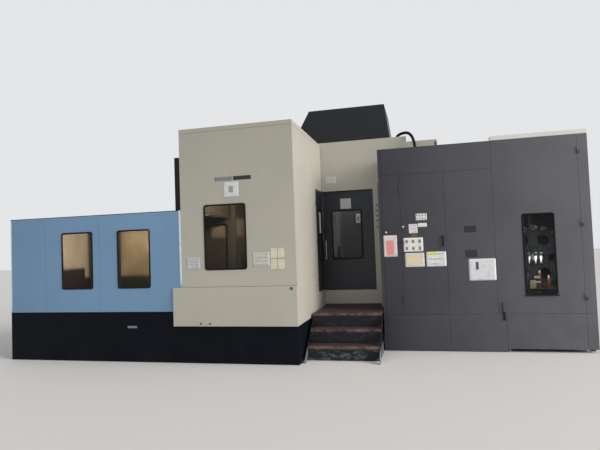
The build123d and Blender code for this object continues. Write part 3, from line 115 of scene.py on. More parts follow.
def ribbed_tube(name, line, radius, rib, pitch, columns=20, rows_per_rib=4):
    """Ribbed tube along a line: radius r + rib sin(2 pi s / pitch) at the length s along it.

    The section's first axis is carried along the line, so the tube doesn't twist.
    """
    steps = np.linalg.norm(np.diff(line, axis=0), axis=1)
    along = np.concatenate(([0], np.cumsum(steps)))
    places = np.linspace(0, along[-1], int(along[-1] / pitch * rows_per_rib))
    centre = np.stack([np.interp(places, along, line[:, k]) for k in range(3)], axis=-1)
    ahead = np.gradient(centre, axis=0)
    ahead /= np.linalg.norm(ahead, axis=1, keepdims=True)
    across = np.cross(ahead, np.cross(line[-1] - line[0], line[1] - line[0]))
    across /= np.linalg.norm(across, axis=1, keepdims=True)
    other = np.cross(ahead, across)
    turn = np.linspace(0, 2 * math.pi, columns, endpoint=False)[None, :, None]
    reach = (radius + rib * np.sin(2 * math.pi * places / pitch))[:, None, None]
    circle = np.cos(turn) * across[:, None] + np.sin(turn) * other[:, None]
    return skinned(name, centre[:, None] + reach * circle)


hose = ribbed_tube("ribbed_roof_hose", hose_line, HOSE_R, HOSE_RIB, HOSE_PITCH)
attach(hose, "machine")
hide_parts("roof_hose")


def srgb(code):
    """Linear colour with alpha 1 from a hex code.

    Each channel c becomes ((c + 0.055) / 1.055) ** 2.4, or c / 12.92 where it is very dark.
    """
    channels = [int(code[i:i + 2], 16) / 255 for i in (0, 2, 4)]
    return [c / 12.92 if c < 0.04045 else ((c + 0.055) / 1.055) ** 2.4 for c in channels] + [1]


# The studio: a pale floor out to the horizon, a sky that lights the object less brightly than it is
# seen, and two soft suns. The right one is stronger, so the tower's side is lighter than its face.
FLOOR_R = 70
SKY_LIGHT, SKY_SEEN = 0.62, 1.0
bpy.ops.mesh.primitive_circle_add(vertices=64, radius=FLOOR_R, fill_type="NGON")
floor = bpy.context.object
floor.name = "floor"
floor_paint = bpy.data.materials.new("studio_floor")
floor_paint.use_nodes = True
floor_shader = floor_paint.node_tree.nodes["Principled BSDF"]
floor_shader.inputs["Base Color"].default_value = srgb("C9C8C4")
floor_shader.inputs["Roughness"].default_value = 0.75
floor.data.materials.append(floor_paint)
world = bpy.data.worlds.new("sky")
world.use_nodes = True
scene.world = world
back = world.node_tree.nodes["Background"]
back.inputs["Color"].default_value = srgb("E4E6E8")
rays = world.node_tree.nodes.new("ShaderNodeLightPath")
seen = rays.outputs["Is Camera Ray"]
for ray in ("Is Glossy Ray", "Is Transmission Ray"):
    either = world.node_tree.nodes.new("ShaderNodeMath")
    either.operation = "MAXIMUM"
    world.node_tree.links.new(seen, either.inputs[0])
    world.node_tree.links.new(rays.outputs[ray], either.inputs[1])
    seen = either.outputs["Value"]
bright = world.node_tree.nodes.new("ShaderNodeMapRange")
bright.inputs["To Min"].default_value = SKY_LIGHT
bright.inputs["To Max"].default_value = SKY_SEEN
world.node_tree.links.new(seen, bright.inputs["Value"])
world.node_tree.links.new(bright.outputs["Result"], back.inputs["Strength"])
for name, direction, power, width, tint in (("right_sun", (-0.95, 0.2, -0.45), 3.0, 40, (1, 0.955, 0.97)),
                                            ("front_sun", (0.1, 0.9, -0.8), 0.38, 60, (1, 1, 1))):
    lamp_data = bpy.data.lights.new(name, "SUN")
    lamp_data.color = tint
    lamp_data.energy = power
    lamp_data.angle = math.radians(width)
    lamp = bpy.data.objects.new(name, lamp_data)
    lamp.rotation_euler = Vector(direction).to_track_quat("-Z", "Y").to_euler()
    scene.collection.objects.link(lamp)

# A broad panel of light stands right of the machine, so the cabinet is lighter towards its right
# end, and painted light in its coat adds to that. Lamps in the guard, the tower, the work room and
# the magazine bay light what shows through the windows, as the machine's own work lights do.
for name, spot, aim, size, power in (
        ("right_panel", (14.0, -8.5, 5.5), (-0.82, 0.55, -0.25), (7.0, 5.0), 620),
        ("guard_light", (-3.4, -0.9, 2.05), (-0.5, 0.5, -0.45), (1.6, 0.2), 34),
        ("tower_light", (-0.6, -1.2, 2.65), (-0.55, 0.75, -0.35), (0.5, 0.2), 86),
        ("room_light", (0.6, 0.4, 3.3), (0, 0, -1), (0.8, 0.3), 22),
        ("rail_light", (3.94, -0.976, 1.86), (-0.1, 0.14, -1), (0.15, 0.015), 7),
        ("shelf_light", (3.86, -0.976, 1.42), (0, 0.14, -1), (0.3, 0.015), 4.4)):
    lamp_data = bpy.data.lights.new(name, "AREA")
    lamp_data.shape = "RECTANGLE"
    lamp_data.size, lamp_data.size_y = size
    lamp_data.energy = power
    lamp_data.color = (1, 0.95, 0.88)
    lamp = bpy.data.objects.new(name, lamp_data)
    lamp.location = spot
    lamp.rotation_euler = Vector(aim).to_track_quat("-Z", "Y").to_euler()
    lamp.visible_camera = lamp.visible_glossy = lamp.visible_transmission = False
    scene.collection.objects.link(lamp)


# Powder coat covers every folded sheet of the machine: an even colour that drifts a little, with
# faint runs down the sheet, soiling near the floor and a fine orange-peel surface.
def shader_group(name, inputs, outputs):
    """Empty shader group with float or colour sockets given as (name, default) pairs."""
    tree = bpy.data.node_groups.new(name, "ShaderNodeTree")
    for label, default in inputs:
        kind = "NodeSocketFloat" if isinstance(default, (int, float)) else "NodeSocketColor"
        socket = tree.interface.new_socket(label, in_out="INPUT", socket_type=kind)
        socket.default_value = default
    for label, kind in outputs:
        tree.interface.new_socket(label, in_out="OUTPUT", socket_type=kind)
    return tree, tree.nodes.new("NodeGroupInput"), tree.nodes.new("NodeGroupOutput")


def noise(tree, coords, scale, detail=3, rough=0.55):
    """Noise texture of one scale, in features per metre."""
    node = tree.nodes.new("ShaderNodeTexNoise")
    node.inputs["Scale"].default_value = scale
    node.inputs["Detail"].default_value = detail
    node.inputs["Roughness"].default_value = rough
    tree.links.new(coords, node.inputs["Vector"])
    return node.outputs["Fac"]


def spread(tree, value, low, high, out_low=0, out_high=1):
    """Map range of a value, clamped."""
    node = tree.nodes.new("ShaderNodeMapRange")
    ends = {"From Min": low, "From Max": high, "To Min": out_low, "To Max": out_high}
    for label, number in ends.items():
        node.inputs[label].default_value = number
    tree.links.new(value, node.inputs["Value"])
    return node.outputs["Result"]


def maths(tree, operation, first, second):
    """Math node of two values or numbers."""
    node = tree.nodes.new("ShaderNodeMath")
    node.operation = operation
    for socket, value in zip(node.inputs, (first, second)):
        if isinstance(value, (int, float)):
            socket.default_value = value
        else:
            tree.links.new(value, socket)
    return node.outputs["Value"]


def product(tree, first, *others):
    """Product of values and masks."""
    for other in others:
        first = maths(tree, "MULTIPLY", first, other)
    return first


def total(tree, first, *others):
    """Sum of values."""
    for other in others:
        first = maths(tree, "ADD", first, other)
    return first


def mixed(tree, factor, first, second):
    """Colour mix of two colours or sockets by a factor."""
    node = tree.nodes.new("ShaderNodeMix")
    node.data_type = "RGBA"
    sockets = [node.inputs["Factor"]] + [socket for socket in node.inputs if socket.type == "RGBA"]
    for socket, value in zip(sockets, (factor, first, second)):
        if isinstance(value, (int, float, list)):
            socket.default_value = value
        else:
            tree.links.new(value, socket)
    return next(socket for socket in node.outputs if socket.type == "RGBA")


def stretched(tree, scale):
    """Object coordinates with each axis scaled, for grain that runs one way."""
    coords = tree.nodes.new("ShaderNodeTexCoord")
    mapping = tree.nodes.new("ShaderNodeMapping")
    mapping.inputs["Scale"].default_value = scale
    tree.links.new(coords.outputs["Object"], mapping.inputs["Vector"])
    return mapping.outputs["Vector"]


def place(tree, axis):
    """One Object coordinate of the shaded point, in metres."""
    split = tree.nodes.new("ShaderNodeSeparateXYZ")
    tree.links.new(stretched(tree, (1, 1, 1)), split.inputs["Vector"])
    return split.outputs[axis]


def fade(tree, axis, low, high, out_low=0, out_high=1):
    """Map range of one Object coordinate, clamped."""
    return spread(tree, place(tree, axis), low, high, out_low, out_high)


def above(tree, axis, value):
    """Mask of the points whose coordinate is more than a value."""
    return maths(tree, "GREATER_THAN", place(tree, axis), value)


def below(tree, axis, value):
    """Mask of the points whose coordinate is less than a value."""
    return maths(tree, "LESS_THAN", place(tree, axis), value)


def between(tree, value, first, last):
    """Mask of the values that lie between two numbers."""
    return product(tree, maths(tree, "GREATER_THAN", value, first), maths(tree, "LESS_THAN", value, last))


def within(tree, axis, first, last):
    """Mask of the points whose coordinate lies between two values."""
    return between(tree, place(tree, axis), first, last)


def fresh(name):
    """New node material, with its tree and its Principled shader."""
    material = bpy.data.materials.new(name)
    material.use_nodes = True
    return material, material.node_tree, material.node_tree.nodes["Principled BSDF"]


def embossed(tree, shader, height, distance):
    """Bump on a shader from a height, with its distance in metres."""
    relief = tree.nodes.new("ShaderNodeBump")
    relief.inputs["Distance"].default_value = distance
    tree.links.new(height, relief.inputs["Height"])
    tree.links.new(relief.outputs["Normal"], shader.inputs["Normal"])


coat_tree, coat_in, coat_out = shader_group(
    "powder_coat", (("Paint", [0.5, 0.5, 0.5, 1]), ("Soil", [0.1, 0.1, 0.1, 1]), ("Soiling", 0.3),
                    ("Drift", 0.1), ("Gloss", 0.4)),
    (("Color", "NodeSocketColor"), ("Roughness", "NodeSocketFloat"), ("Height", "NodeSocketFloat")))
SOIL_TOP, MOST_SOIL = 1.1, 0.85
plain = stretched(coat_tree, (1, 1, 1))
drift = spread(coat_tree, noise(coat_tree, plain, 1.3, 4), 0.3, 0.7, -0.5, 0.5)
runs = spread(coat_tree, noise(coat_tree, stretched(coat_tree, (9, 9, 0.5)), 1, 5, 0.6), 0.52, 0.78)
specks = spread(coat_tree, noise(coat_tree, plain, 22, 3, 0.7), 0.62, 0.75)
foot = product(coat_tree, fade(coat_tree, "Z", 0.0, SOIL_TOP, 1, 0),
               spread(coat_tree, noise(coat_tree, plain, 5, 5), 0.35, 0.7))
soil = total(coat_tree, product(coat_tree, runs, 0.35), product(coat_tree, foot, 0.8),
             product(coat_tree, specks, 0.5))
soil = maths(coat_tree, "MINIMUM", product(coat_tree, soil, coat_in.outputs["Soiling"]), MOST_SOIL)
shade = total(coat_tree, product(coat_tree, drift, coat_in.outputs["Drift"]), 1)
toned = coat_tree.nodes.new("ShaderNodeVectorMath")
toned.operation = "SCALE"
coat_tree.links.new(coat_in.outputs["Paint"], toned.inputs[0])
coat_tree.links.new(shade, toned.inputs["Scale"])
coat_tree.links.new(mixed(coat_tree, soil, toned.outputs["Vector"], coat_in.outputs["Soil"]),
                    coat_out.inputs["Color"])
rough = total(coat_tree, coat_in.outputs["Gloss"], product(coat_tree, drift, 0.12),
              product(coat_tree, soil, 0.3))
coat_tree.links.new(rough, coat_out.inputs["Roughness"])
waves = product(coat_tree, noise(coat_tree, plain, 2.2, 1), 6)
peel = total(coat_tree, noise(coat_tree, plain, 260, 2, 0.5), waves)
coat_tree.links.new(peel, coat_out.inputs["Height"])


def powder_coat(name, paint, soil_color, soiling=0.3, drift_by=0.1, gloss=0.4, bump=0.0006, shine=0.5):
    """Painted sheet material; the bump's distance is in metres."""
    material, tree, shader = fresh(name)
    group = tree.nodes.new("ShaderNodeGroup")
    group.node_tree = coat_tree
    group.inputs["Paint"].default_value = srgb(paint)
    group.inputs["Soil"].default_value = srgb(soil_color)
    group.inputs["Soiling"].default_value = soiling
    group.inputs["Drift"].default_value = drift_by
    group.inputs["Gloss"].default_value = gloss
    shader.inputs["Specular IOR Level"].default_value = shine
    tree.links.new(group.outputs["Color"], shader.inputs["Base Color"])
    tree.links.new(group.outputs["Roughness"], shader.inputs["Roughness"])
    embossed(tree, shader, group.outputs["Height"], bump)
    return material


def dress(material, *names):
    """Give CAD nodes this material in place of their own."""
    for node_name in names:
        nodes[node_name].data.materials.clear()
        nodes[node_name].data.materials.append(material)


def graded(material, factor, first, second):
    """Let a powder coat's paint run from one colour to another by a factor."""
    tree = material.node_tree
    tree.links.new(mixed(tree, factor, srgb(first), srgb(second)), tree.nodes["Group"].inputs["Paint"])


def repaint(material, mask, color):
    """Lay a colour or colour socket over a material's own colour where the mask is 1."""
    socket = material.node_tree.nodes["Principled BSDF"].inputs["Base Color"]
    own = socket.links[0].from_socket
    material.node_tree.links.new(mixed(material.node_tree, mask, own, color), socket)


# Dark base: folded trays in near-black navy round the foot of the guard, tower and housing. The step
# risers are bare worn sheet. Top strip and mouldings are plain black plastic. The grip plate low on
# the guard is one node with the top strip, and grey.
BAY_X, BAY_RISER_Y = (0.41, 1.49), (-1.8, 0.02)
WORN_Z, GRIP_TOP_Z = (0.16, 0.22), (0.9, 1.0)
navy = powder_coat("base_navy_coat", "0B0E16", "22201F", 0.25, 0.25, 0.42, shine=0.08)
tree = navy.node_tree
riser = product(tree, within(tree, "X", *BAY_X), within(tree, "Y", *BAY_RISER_Y))
scuffs = spread(tree, noise(tree, stretched(tree, (1, 1, 2)), 6, 5, 0.7), 0.5, 0.66)
bare = product(tree, scuffs, fade(tree, "Z", *WORN_Z, 1, 0.15))
repaint(navy, riser, mixed(tree, bare, srgb("24272A"), srgb("5E6262")))
dress(navy, "base_cladding")
black = powder_coat("black_moulding", "12110E", "3A3833", 0.2, 0.2, 0.5, 0.0003, 0.25)
dress(black, "cable_riser", "cabinet_door_lever", "console_fittings", "knob_feed_override",
      "roof_hose_glands")
trim = powder_coat("guard_trim_coat", "0B0A09", "2A2825", 0.2, 0.2, 0.5, 0.0003, 0.2)
repaint(trim, fade(trim.node_tree, "Z", *GRIP_TOP_Z, 1, 0), srgb("77797F"))
dress(trim, "guard_top_trim")

# Frame tubes and door rail: square steel tube, welded and painted dark. They are seen only through
# the windows and open doors.
tube_paint = powder_coat("tube_paint", "403D37", "262420", 0.5, 0.2, 0.5)
dress(tube_paint, "enclosure_frame", "bay_door_rail")

# Planes of the folded sheets, and half a sheet's thickness: a point past it is on the inner face.
HALF_SHEET = 0.0015
GUARD_LEFT, GUARD_TOP = -4.555, 2.32
TOWER_LEFT, TOWER_RIGHT, HOUSE_RIGHT = -1.435, 0.365, 2.465
FRONT_Y, BAY_Y, BACK_Y = -2.075, 0.025, 2.1

# Blue guard: folded steel panels screwed to the frame, with painted shade that makes them a little
# darker towards the left end, and faint soiling.
BLUE_SHADE_X = (-4.5, -3.2)
BLUE_LOOK = dict(paint="6B8CAB", soil_color="5C6A74", soiling=0.22, drift_by=0.10, gloss=0.38, shine=0.35)
blue = powder_coat("guard_blue_coat", **BLUE_LOOK)
# Painted shade: the blue paint runs darker towards the guard's left end.
graded(blue, fade(blue.node_tree, "X", *BLUE_SHADE_X), "6584A1", "6B8CAB")
dress(blue, "guard_panels")

# The guard's end, rear and roof panels are the same blue outside and primer inside, which is what
# shows through the windows: pale at the end wall and darker below about 1.2 m. Near the tower the
# primer carries painted shade, dark with a darker foot, and one painted patch of light.
END_WALL_X, NEAR_TOWER_X = -4.5, -2.3
LOW_DARK_Z, LOW_DARK_STEP, LOW_DARK_STEP_Y = (1.20, 1.27), 0.19, -0.19
GUARD_LIT_X, GUARD_LIT_TOP_Z, CORNER_SHADE_Z = (-1.86, -1.55), 2.27, (1.9, 1.98)
ROOF_EDGE_Z, ROOF_INNER_Y = 2.30, (-1.0, 0.02)
shell = powder_coat("guard_shell_coat", **BLUE_LOOK)
tree = shell.node_tree
roof_inner = product(tree, within(tree, "Y", *ROOF_INNER_Y), below(tree, "Z", GUARD_TOP - HALF_SHEET))
shell_inner = product(tree, above(tree, "X", GUARD_LEFT + HALF_SHEET), below(tree, "Y", BAY_Y - HALF_SHEET),
                      maths(tree, "MAXIMUM", roof_inner, below(tree, "Z", ROOF_EDGE_Z)))
blots = spread(tree, noise(tree, stretched(tree, (1, 1, 1)), 1.6, 4), 0.4, 0.62)
primer_light_and_shade = mixed(tree, blots, srgb("A89980"), srgb("8F7F65"))
primer_light_and_shade = mixed(tree, below(tree, "X", END_WALL_X), primer_light_and_shade, srgb("D3C6B4"))
# Darker below about 1.2 m, and a step higher towards the end wall's front.
step = product(tree, below(tree, "X", END_WALL_X), below(tree, "Y", LOW_DARK_STEP_Y), LOW_DARK_STEP)
low_dark = spread(tree, maths(tree, "SUBTRACT", place(tree, "Z"), step), *LOW_DARK_Z, 1, 0)
primer_light_and_shade = mixed(tree, low_dark, primer_light_and_shade, srgb("34302A"))
# Near the tower: painted shade, dark with a darker foot below about 1.9 m, and one painted patch of light.
guard_lit_patch = product(tree, within(tree, "X", *GUARD_LIT_X), below(tree, "Z", GUARD_LIT_TOP_Z))
corner_light_and_shade = mixed(tree, guard_lit_patch, srgb("3A342A"), srgb("7A6E5C"))
corner_light_and_shade = mixed(tree, fade(tree, "Z", *CORNER_SHADE_Z), srgb("3C372E"), corner_light_and_shade)
primer_light_and_shade = mixed(tree, above(tree, "X", NEAR_TOWER_X), primer_light_and_shade, corner_light_and_shade)
repaint(shell, shell_inner, primer_light_and_shade)
dress(shell, "guard_outer_panels")

# Cream panels of the tower, bay and housing: folded sheet with painted shade, a little darker outside
# towards the tower's top, away from the pale floor, and dull primer inside with painted light and
# shade: one painted patch of light between about 2.0 and 2.3 m high, painted shade below and above.
FRONT_SHEETS_Y, FRONT_SHADE_Z = (-2.2, -2.034), (1.2, 3.4)
ROOM_TOP, ROOM_LIT_Y, ROOM_LIT_FOOT_Z, ROOM_LIT_TOP_Z = 3.497, (0.2, 0.7), (1.9, 2.0), (2.27, 2.35)
cream = powder_coat("cream_coat", "ABA89C", "857C6C", 0.22, 0.06, 0.45)
tree = cream.node_tree
# Painted shade: the front sheets darken towards the top.
front_painted_shade = product(tree, within(tree, "Y", *FRONT_SHEETS_Y), fade(tree, "Z", *FRONT_SHADE_Z))
graded(cream, front_painted_shade, "ABA89C", "9E9B8F")
tower_room = product(tree, within(tree, "X", TOWER_LEFT + HALF_SHEET, TOWER_RIGHT - HALF_SHEET),
                     within(tree, "Y", FRONT_Y + HALF_SHEET, BACK_Y - HALF_SHEET))
house_room = product(tree, within(tree, "X", TOWER_LEFT + HALF_SHEET, HOUSE_RIGHT - HALF_SHEET),
                     within(tree, "Y", BAY_Y + HALF_SHEET, BACK_Y - HALF_SHEET))
cream_inner = product(tree, maths(tree, "MAXIMUM", tower_room, house_room), below(tree, "Z", ROOM_TOP))
# Painted light and shade inside: paler where Y is 0.2 to 0.7 between about 2.0 and 2.3 m, darker below and
# above.
room_light_and_shade = mixed(tree, within(tree, "Y", *ROOM_LIT_Y), srgb("5C5446"), srgb("84796A"))
room_light_and_shade = mixed(tree, fade(tree, "Z", *ROOM_LIT_FOOT_Z), srgb("4C463C"), room_light_and_shade)
room_light_and_shade = mixed(tree, fade(tree, "Z", *ROOM_LIT_TOP_Z), room_light_and_shade, srgb("403A30"))
repaint(cream, cream_inner, room_light_and_shade)
dress(cream, "tower_front_panel", "tower_skirt_panel", "tower_side_panel", "tower_cap", "bay_front_panels",
      "housing_panels", "housing_roof_panels")

# Hood, bay door and hatch: folded sheet in satin near-black paint. The hood stands on the roof,
# the door hangs from its rail and the hatch from its hinges.
hood_paint = powder_coat("hood_coat", "242628", "3C3B38", 0.25, 0.25, 0.45, shine=0.15)
dress(hood_paint, "column_hood")
door_paint = powder_coat("door_coat", "2B2E35", "4A4840", 0.3, 0.25, 0.36, shine=0.3)
dress(door_paint, "bay_door_leaf", "hatch_leaf")

# Cabinet: steel sheet in a grey textured coat, bluish, with painted light that makes it lighter to
# the right, with a white cable tray and an olive-grey console.
CABINET_LIGHT_X = (1.5, 4.5)
grey = powder_coat("cabinet_coat", "505158", "343436", 0.3, 0.16, 0.46, shine=0.2)
# Painted light: the cabinet's paint runs lighter towards its right end.
graded(grey, fade(grey.node_tree, "X", *CABINET_LIGHT_X), "37383D", "606066")
dress(grey, "cabinet_front_panels", "cabinet_shell_panels", "cabinet_door", "magazine_door")
white = powder_coat("white_coat", "C9C9C6", "77746C", 0.3, 0.08, 0.4)
dress(white, "roof_cable_tray")
console_paint = powder_coat("console_coat", "62625A", "3C3A33", 0.3, 0.12, 0.42)
dress(console_paint, "console_housing")


# Bare metals: brushed handles and hinges, a step frame galvanised at the foot and dark above it,
# ground rails and turned tool holders. The castings of the bed, column, head and stands are painted
# over a rough skin.
FRAME_DARK_Z = (0.13, 0.20)


def bare_metal(name, color, gloss, grain=(30, 30, 400), wear=0.25, metallic=1.0):
    """Metal whose roughness and colour vary along drawn grain."""
    material, tree, shader = fresh(name)
    shader.inputs["Metallic"].default_value = metallic
    lines = noise(tree, stretched(tree, grain), 1, 4, 0.6)
    blots = noise(tree, stretched(tree, (1, 1, 1)), 14, 4, 0.6)
    dark = [c * (1 - wear) for c in srgb(color)[:3]] + [1]
    worn = mixed(tree, spread(tree, blots, 0.35, 0.65), dark, srgb(color))
    tree.links.new(worn, shader.inputs["Base Color"])
    tree.links.new(spread(tree, lines, 0.25, 0.75, gloss - 0.12, gloss + 0.15), shader.inputs["Roughness"])
    embossed(tree, shader, lines, 0.0004)
    return material


steel = bare_metal("satin_steel", "C9CCCF", 0.32)
dress(steel, "bay_door_fittings", "levelling_pads")
dark_steel = bare_metal("dark_steel", "4A4A4D", 0.42, (30, 30, 300), 0.3, 0.8)
dress(dark_steel, "hatch_handle", "fixed_hinge_halves")
galvanised = bare_metal("galvanised_steel", "9A9AA6", 0.5, (40, 40, 40), 0.35, 0.7)
repaint(galvanised, fade(galvanised.node_tree, "Z", *FRAME_DARK_Z), srgb("24252B"))
dress(galvanised, "stair_frame")
ground = bare_metal("ground_steel", "B9BBBD", 0.25, (8, 300, 300))
dress(ground, "linear_rails", "rotary_table", "spindle", "transfer_cart")
holder_steel = bare_metal("holder_steel", "BDB9B0", 0.22, (200, 200, 200))
dress(holder_steel, "tool_holders")
casting = powder_coat("casting_paint", "8A9190", "4B4A44", 0.5, 0.2, 0.5, 0.002)
dress(casting, "main_bed", "machine_column", "spindle_head", "table_saddle", "transfer_bed",
      "magazine_stand")
wheel_paint = powder_coat("wheel_paint", "3A3D42", "2E2E2E", 0.4, 0.2, 0.4)
dress(wheel_paint, "magazine_wheel")

# Steps: folded plate in worn reddish-brown paint, rubbed to grey along the front edge of each tread.
# The edges lie a going apart from the first nosing on, and the platform behind has none.
FIRST_NOSING, GOING, PLATFORM_Y, RUB_DEPTH = -1.755, 0.245, -1.2, (0.05, 0.16)
tread = powder_coat("tread_coat", "3E2F2D", "2A2524", 0.9, 0.3, 0.65, 0.0015, 0.25)
tree = tread.node_tree
share = maths(tree, "DIVIDE", maths(tree, "SUBTRACT", place(tree, "Y"), FIRST_NOSING), GOING)
share = maths(tree, "FRACT", share, 0)
nosing = product(tree, spread(tree, share, *RUB_DEPTH, 1, 0), below(tree, "Y", PLATFORM_Y))
rub = spread(tree, noise(tree, stretched(tree, (1, 1, 1)), 7, 5, 0.65), 0.38, 0.58)
repaint(tread, product(tree, nosing, rub), srgb("6F5751"))
dress(tread, "stair_treads")


# Glazing rings: extruded black rubber pressed on the edge of each hole, holding its pane. The ribbed
# hose is of the same rubber.
def set_on(plane, depth, across, up, out):
    """Points on a vertical face: front faces -Y at y = depth, side +X and left -X at x = depth."""
    if plane == "front":
        return np.stack((across, depth - out, up), axis=-1)
    if plane == "left":
        return np.stack((depth - out, across, up), axis=-1)
    return np.stack((depth + out, across, up), axis=-1)


def glazing_ring(name, plane, depth, low, high, radius, half=0.012, proud=0.010):
    """Ring on a rounded hole: the section |s / half| ** 3 + |d / proud| ** 3 = 1 carried round it.

    The hole's outline is a quarter circle at each corner, joined by straight runs.
    """
    quarter = np.linspace(0, math.pi / 2, 7)
    angle = (quarter[None, :] + np.arange(4)[:, None] * math.pi / 2).reshape(-1, 1)
    middle_x = np.repeat([high[0] - radius, low[0] + radius, low[0] + radius, high[0] - radius], 7)[:, None]
    middle_z = np.repeat([high[1] - radius, high[1] - radius, low[1] + radius, low[1] + radius], 7)[:, None]
    turn = np.linspace(0, 2 * math.pi, 16, endpoint=False)[None, :]
    side = half * np.sign(np.cos(turn)) * np.abs(np.cos(turn)) ** (2 / 3)
    out = proud * np.sign(np.sin(turn)) * np.abs(np.sin(turn)) ** (2 / 3) + angle * 0
    across = middle_x + np.cos(angle) * (radius + side)
    up = middle_z + np.sin(angle) * (radius + side)
    return skinned(name, set_on(plane, depth, across, up, out), ring=True)


CABINET_Y, LEAF_Y = -0.991, 0.077
GUARD_Z, TOWER_Z, DOOR_Z, MAGAZINE_Z = (1.15, 2.045), (1.40, 2.366), (1.45, 2.33), (0.87, 2.055)
HOLE_R, TOWER_HOLE_R = 0.025, 0.035
RINGS = (
    ("guard_ring_left", "window_gaskets", "machine", "front", FRONT_Y, (-3.555, -3.0), GUARD_Z, HOLE_R),
    ("guard_ring_right", "window_gaskets", "machine", "front", FRONT_Y, (-2.535, -1.98), GUARD_Z, HOLE_R),
    ("tower_ring", "window_gaskets", "machine", "front", FRONT_Y, (-1.045, -0.392), TOWER_Z, TOWER_HOLE_R),
    ("bay_door_ring", "bay_door_gasket", "bay_door", "front", LEAF_Y, (0.53, 1.075), DOOR_Z, HOLE_R),
    ("hatch_ring", "hatch_gasket", "hatch", "side", TOWER_RIGHT, (-0.405, -0.135), DOOR_Z, HOLE_R),
    ("magazine_ring", "magazine_door_gasket", "magazine_door", "front", CABINET_Y, (3.615, 4.045),
     MAGAZINE_Z, HOLE_R),
)
rubber = powder_coat("rubber_black", "0C0B0A", "2A2825", 0.3, 0.3, 0.6, 0.0006, 0.2)
hose.data.materials.append(rubber)
for name, node, body, plane, depth, (left, right), (bottom, top), radius in RINGS:
    piece = glazing_ring(name, plane, depth, (left, bottom), (right, top), radius)
    piece.data.materials.append(rubber)
    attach(piece, body)
    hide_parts(node)


# Panes: tinted sheet, a little smeared and dusty, held in the glazing rings. After them come the
# console's moulded buttons and the painted gear in the cabinet.
PANE_IOR = 1.22


def tinted_glass(name, tint, clear):
    """Glossy tinted pane: clear is how much of the light passes."""
    material, tree, shader = fresh(name)
    shader.inputs["Transmission Weight"].default_value = clear
    shader.inputs["IOR"].default_value = PANE_IOR
    smear = noise(tree, stretched(tree, (1, 1, 0.4)), 3.5, 5, 0.65)
    dusty = [c * 0.8 for c in srgb(tint)[:3]] + [1]
    smeared = mixed(tree, spread(tree, smear, 0.4, 0.75), srgb(tint), dusty)
    tree.links.new(smeared, shader.inputs["Base Color"])
    tree.links.new(spread(tree, smear, 0.35, 0.75, 0.02, 0.12), shader.inputs["Roughness"])
    return material


dress(tinted_glass("window_tint", "A39C90", 1.0), "window_glass")
dress(tinted_glass("door_tint", "8C8C8E", 0.95), "bay_door_glass", "hatch_glass")
dress(tinted_glass("magazine_tint", "B9BBBE", 1.0), "magazine_door_glass")
dress(powder_coat("start_green", "1E8A45", "103018", 0.1, 0.05, 0.25, 0.0001), "button_cycle_start")
dress(powder_coat("hold_amber", "D08A1C", "40300C", 0.1, 0.05, 0.25, 0.0001), "button_feed_hold")
dress(powder_coat("stop_red", "C21818", "400808", 0.1, 0.05, 0.25, 0.0001), "emergency_stop")
dress(powder_coat("gear_grey", "A8ABAB", "5A5A58", 0.2, 0.1, 0.5, 0.0003), "control_gear")
dress(powder_coat("drive_cream", "BBB6A8", "5A5A58", 0.2, 0.1, 0.5, 0.0003), "drive_modules")


# Papers and plates: thin cards stuck on the panels, and one pale strip that is a painted highlight.
# Each has a coloured field, faint grey lines or plain marks and is otherwise bare. The corners of
# papers curl a few millimetres off the panel.
def card(name, depth, low, high, curl, radius=0.0018, stands=0.0008, cells=14):
    """Card on a face along -Y at y = depth, as a closed grid: front, back and an edge strip.

    low and high are its corners (x, z), and u and v run over it from -1 to 1. Each corner is pulled in
    by radius max(|u|, |v|) ** 30 |u v| ** 12 and lifted off the panel by curl |u v| ** 4.
    """
    u, v = np.meshgrid(np.linspace(-1, 1, cells), np.linspace(-1, 1, cells), indexing="ij")
    centre, half = (np.array(low) + high) / 2, (np.array(high) - low) / 2
    lift = stands + curl * np.abs(u * v) ** 4
    corner = radius * np.maximum(np.abs(u), np.abs(v)) ** 30 * np.abs(u * v) ** 12
    across = centre[0] + half[0] * u - np.sign(u) * corner
    up = centre[1] + half[1] * v - np.sign(v) * corner
    sides = [set_on("front", depth, across, up, out).reshape(-1, 3) for out in (lift, lift - stands * 0.8)]
    here = np.arange(cells * cells).reshape(cells, cells)
    face = np.stack((here[:-1, :-1], here[1:, :-1], here[1:, 1:], here[:-1, 1:]), -1).reshape(-1, 4)
    rim = np.concatenate((here[0], here[1:, -1], here[-1, -2::-1], here[-2:0:-1, 0]))
    ahead = np.roll(rim, -1)
    edge = np.stack((rim, ahead, ahead + cells * cells, rim + cells * cells), -1)
    mesh = bpy.data.meshes.new(name)
    quads = np.concatenate((face, face[:, ::-1] + cells * cells, edge))
    mesh.from_pydata(np.concatenate(sides).tolist(), [], quads.tolist())
    mesh.polygons.foreach_set("use_smooth", [True] * len(quads))
    piece = bpy.data.objects.new(name, mesh)
    scene.collection.objects.link(piece)
    return piece


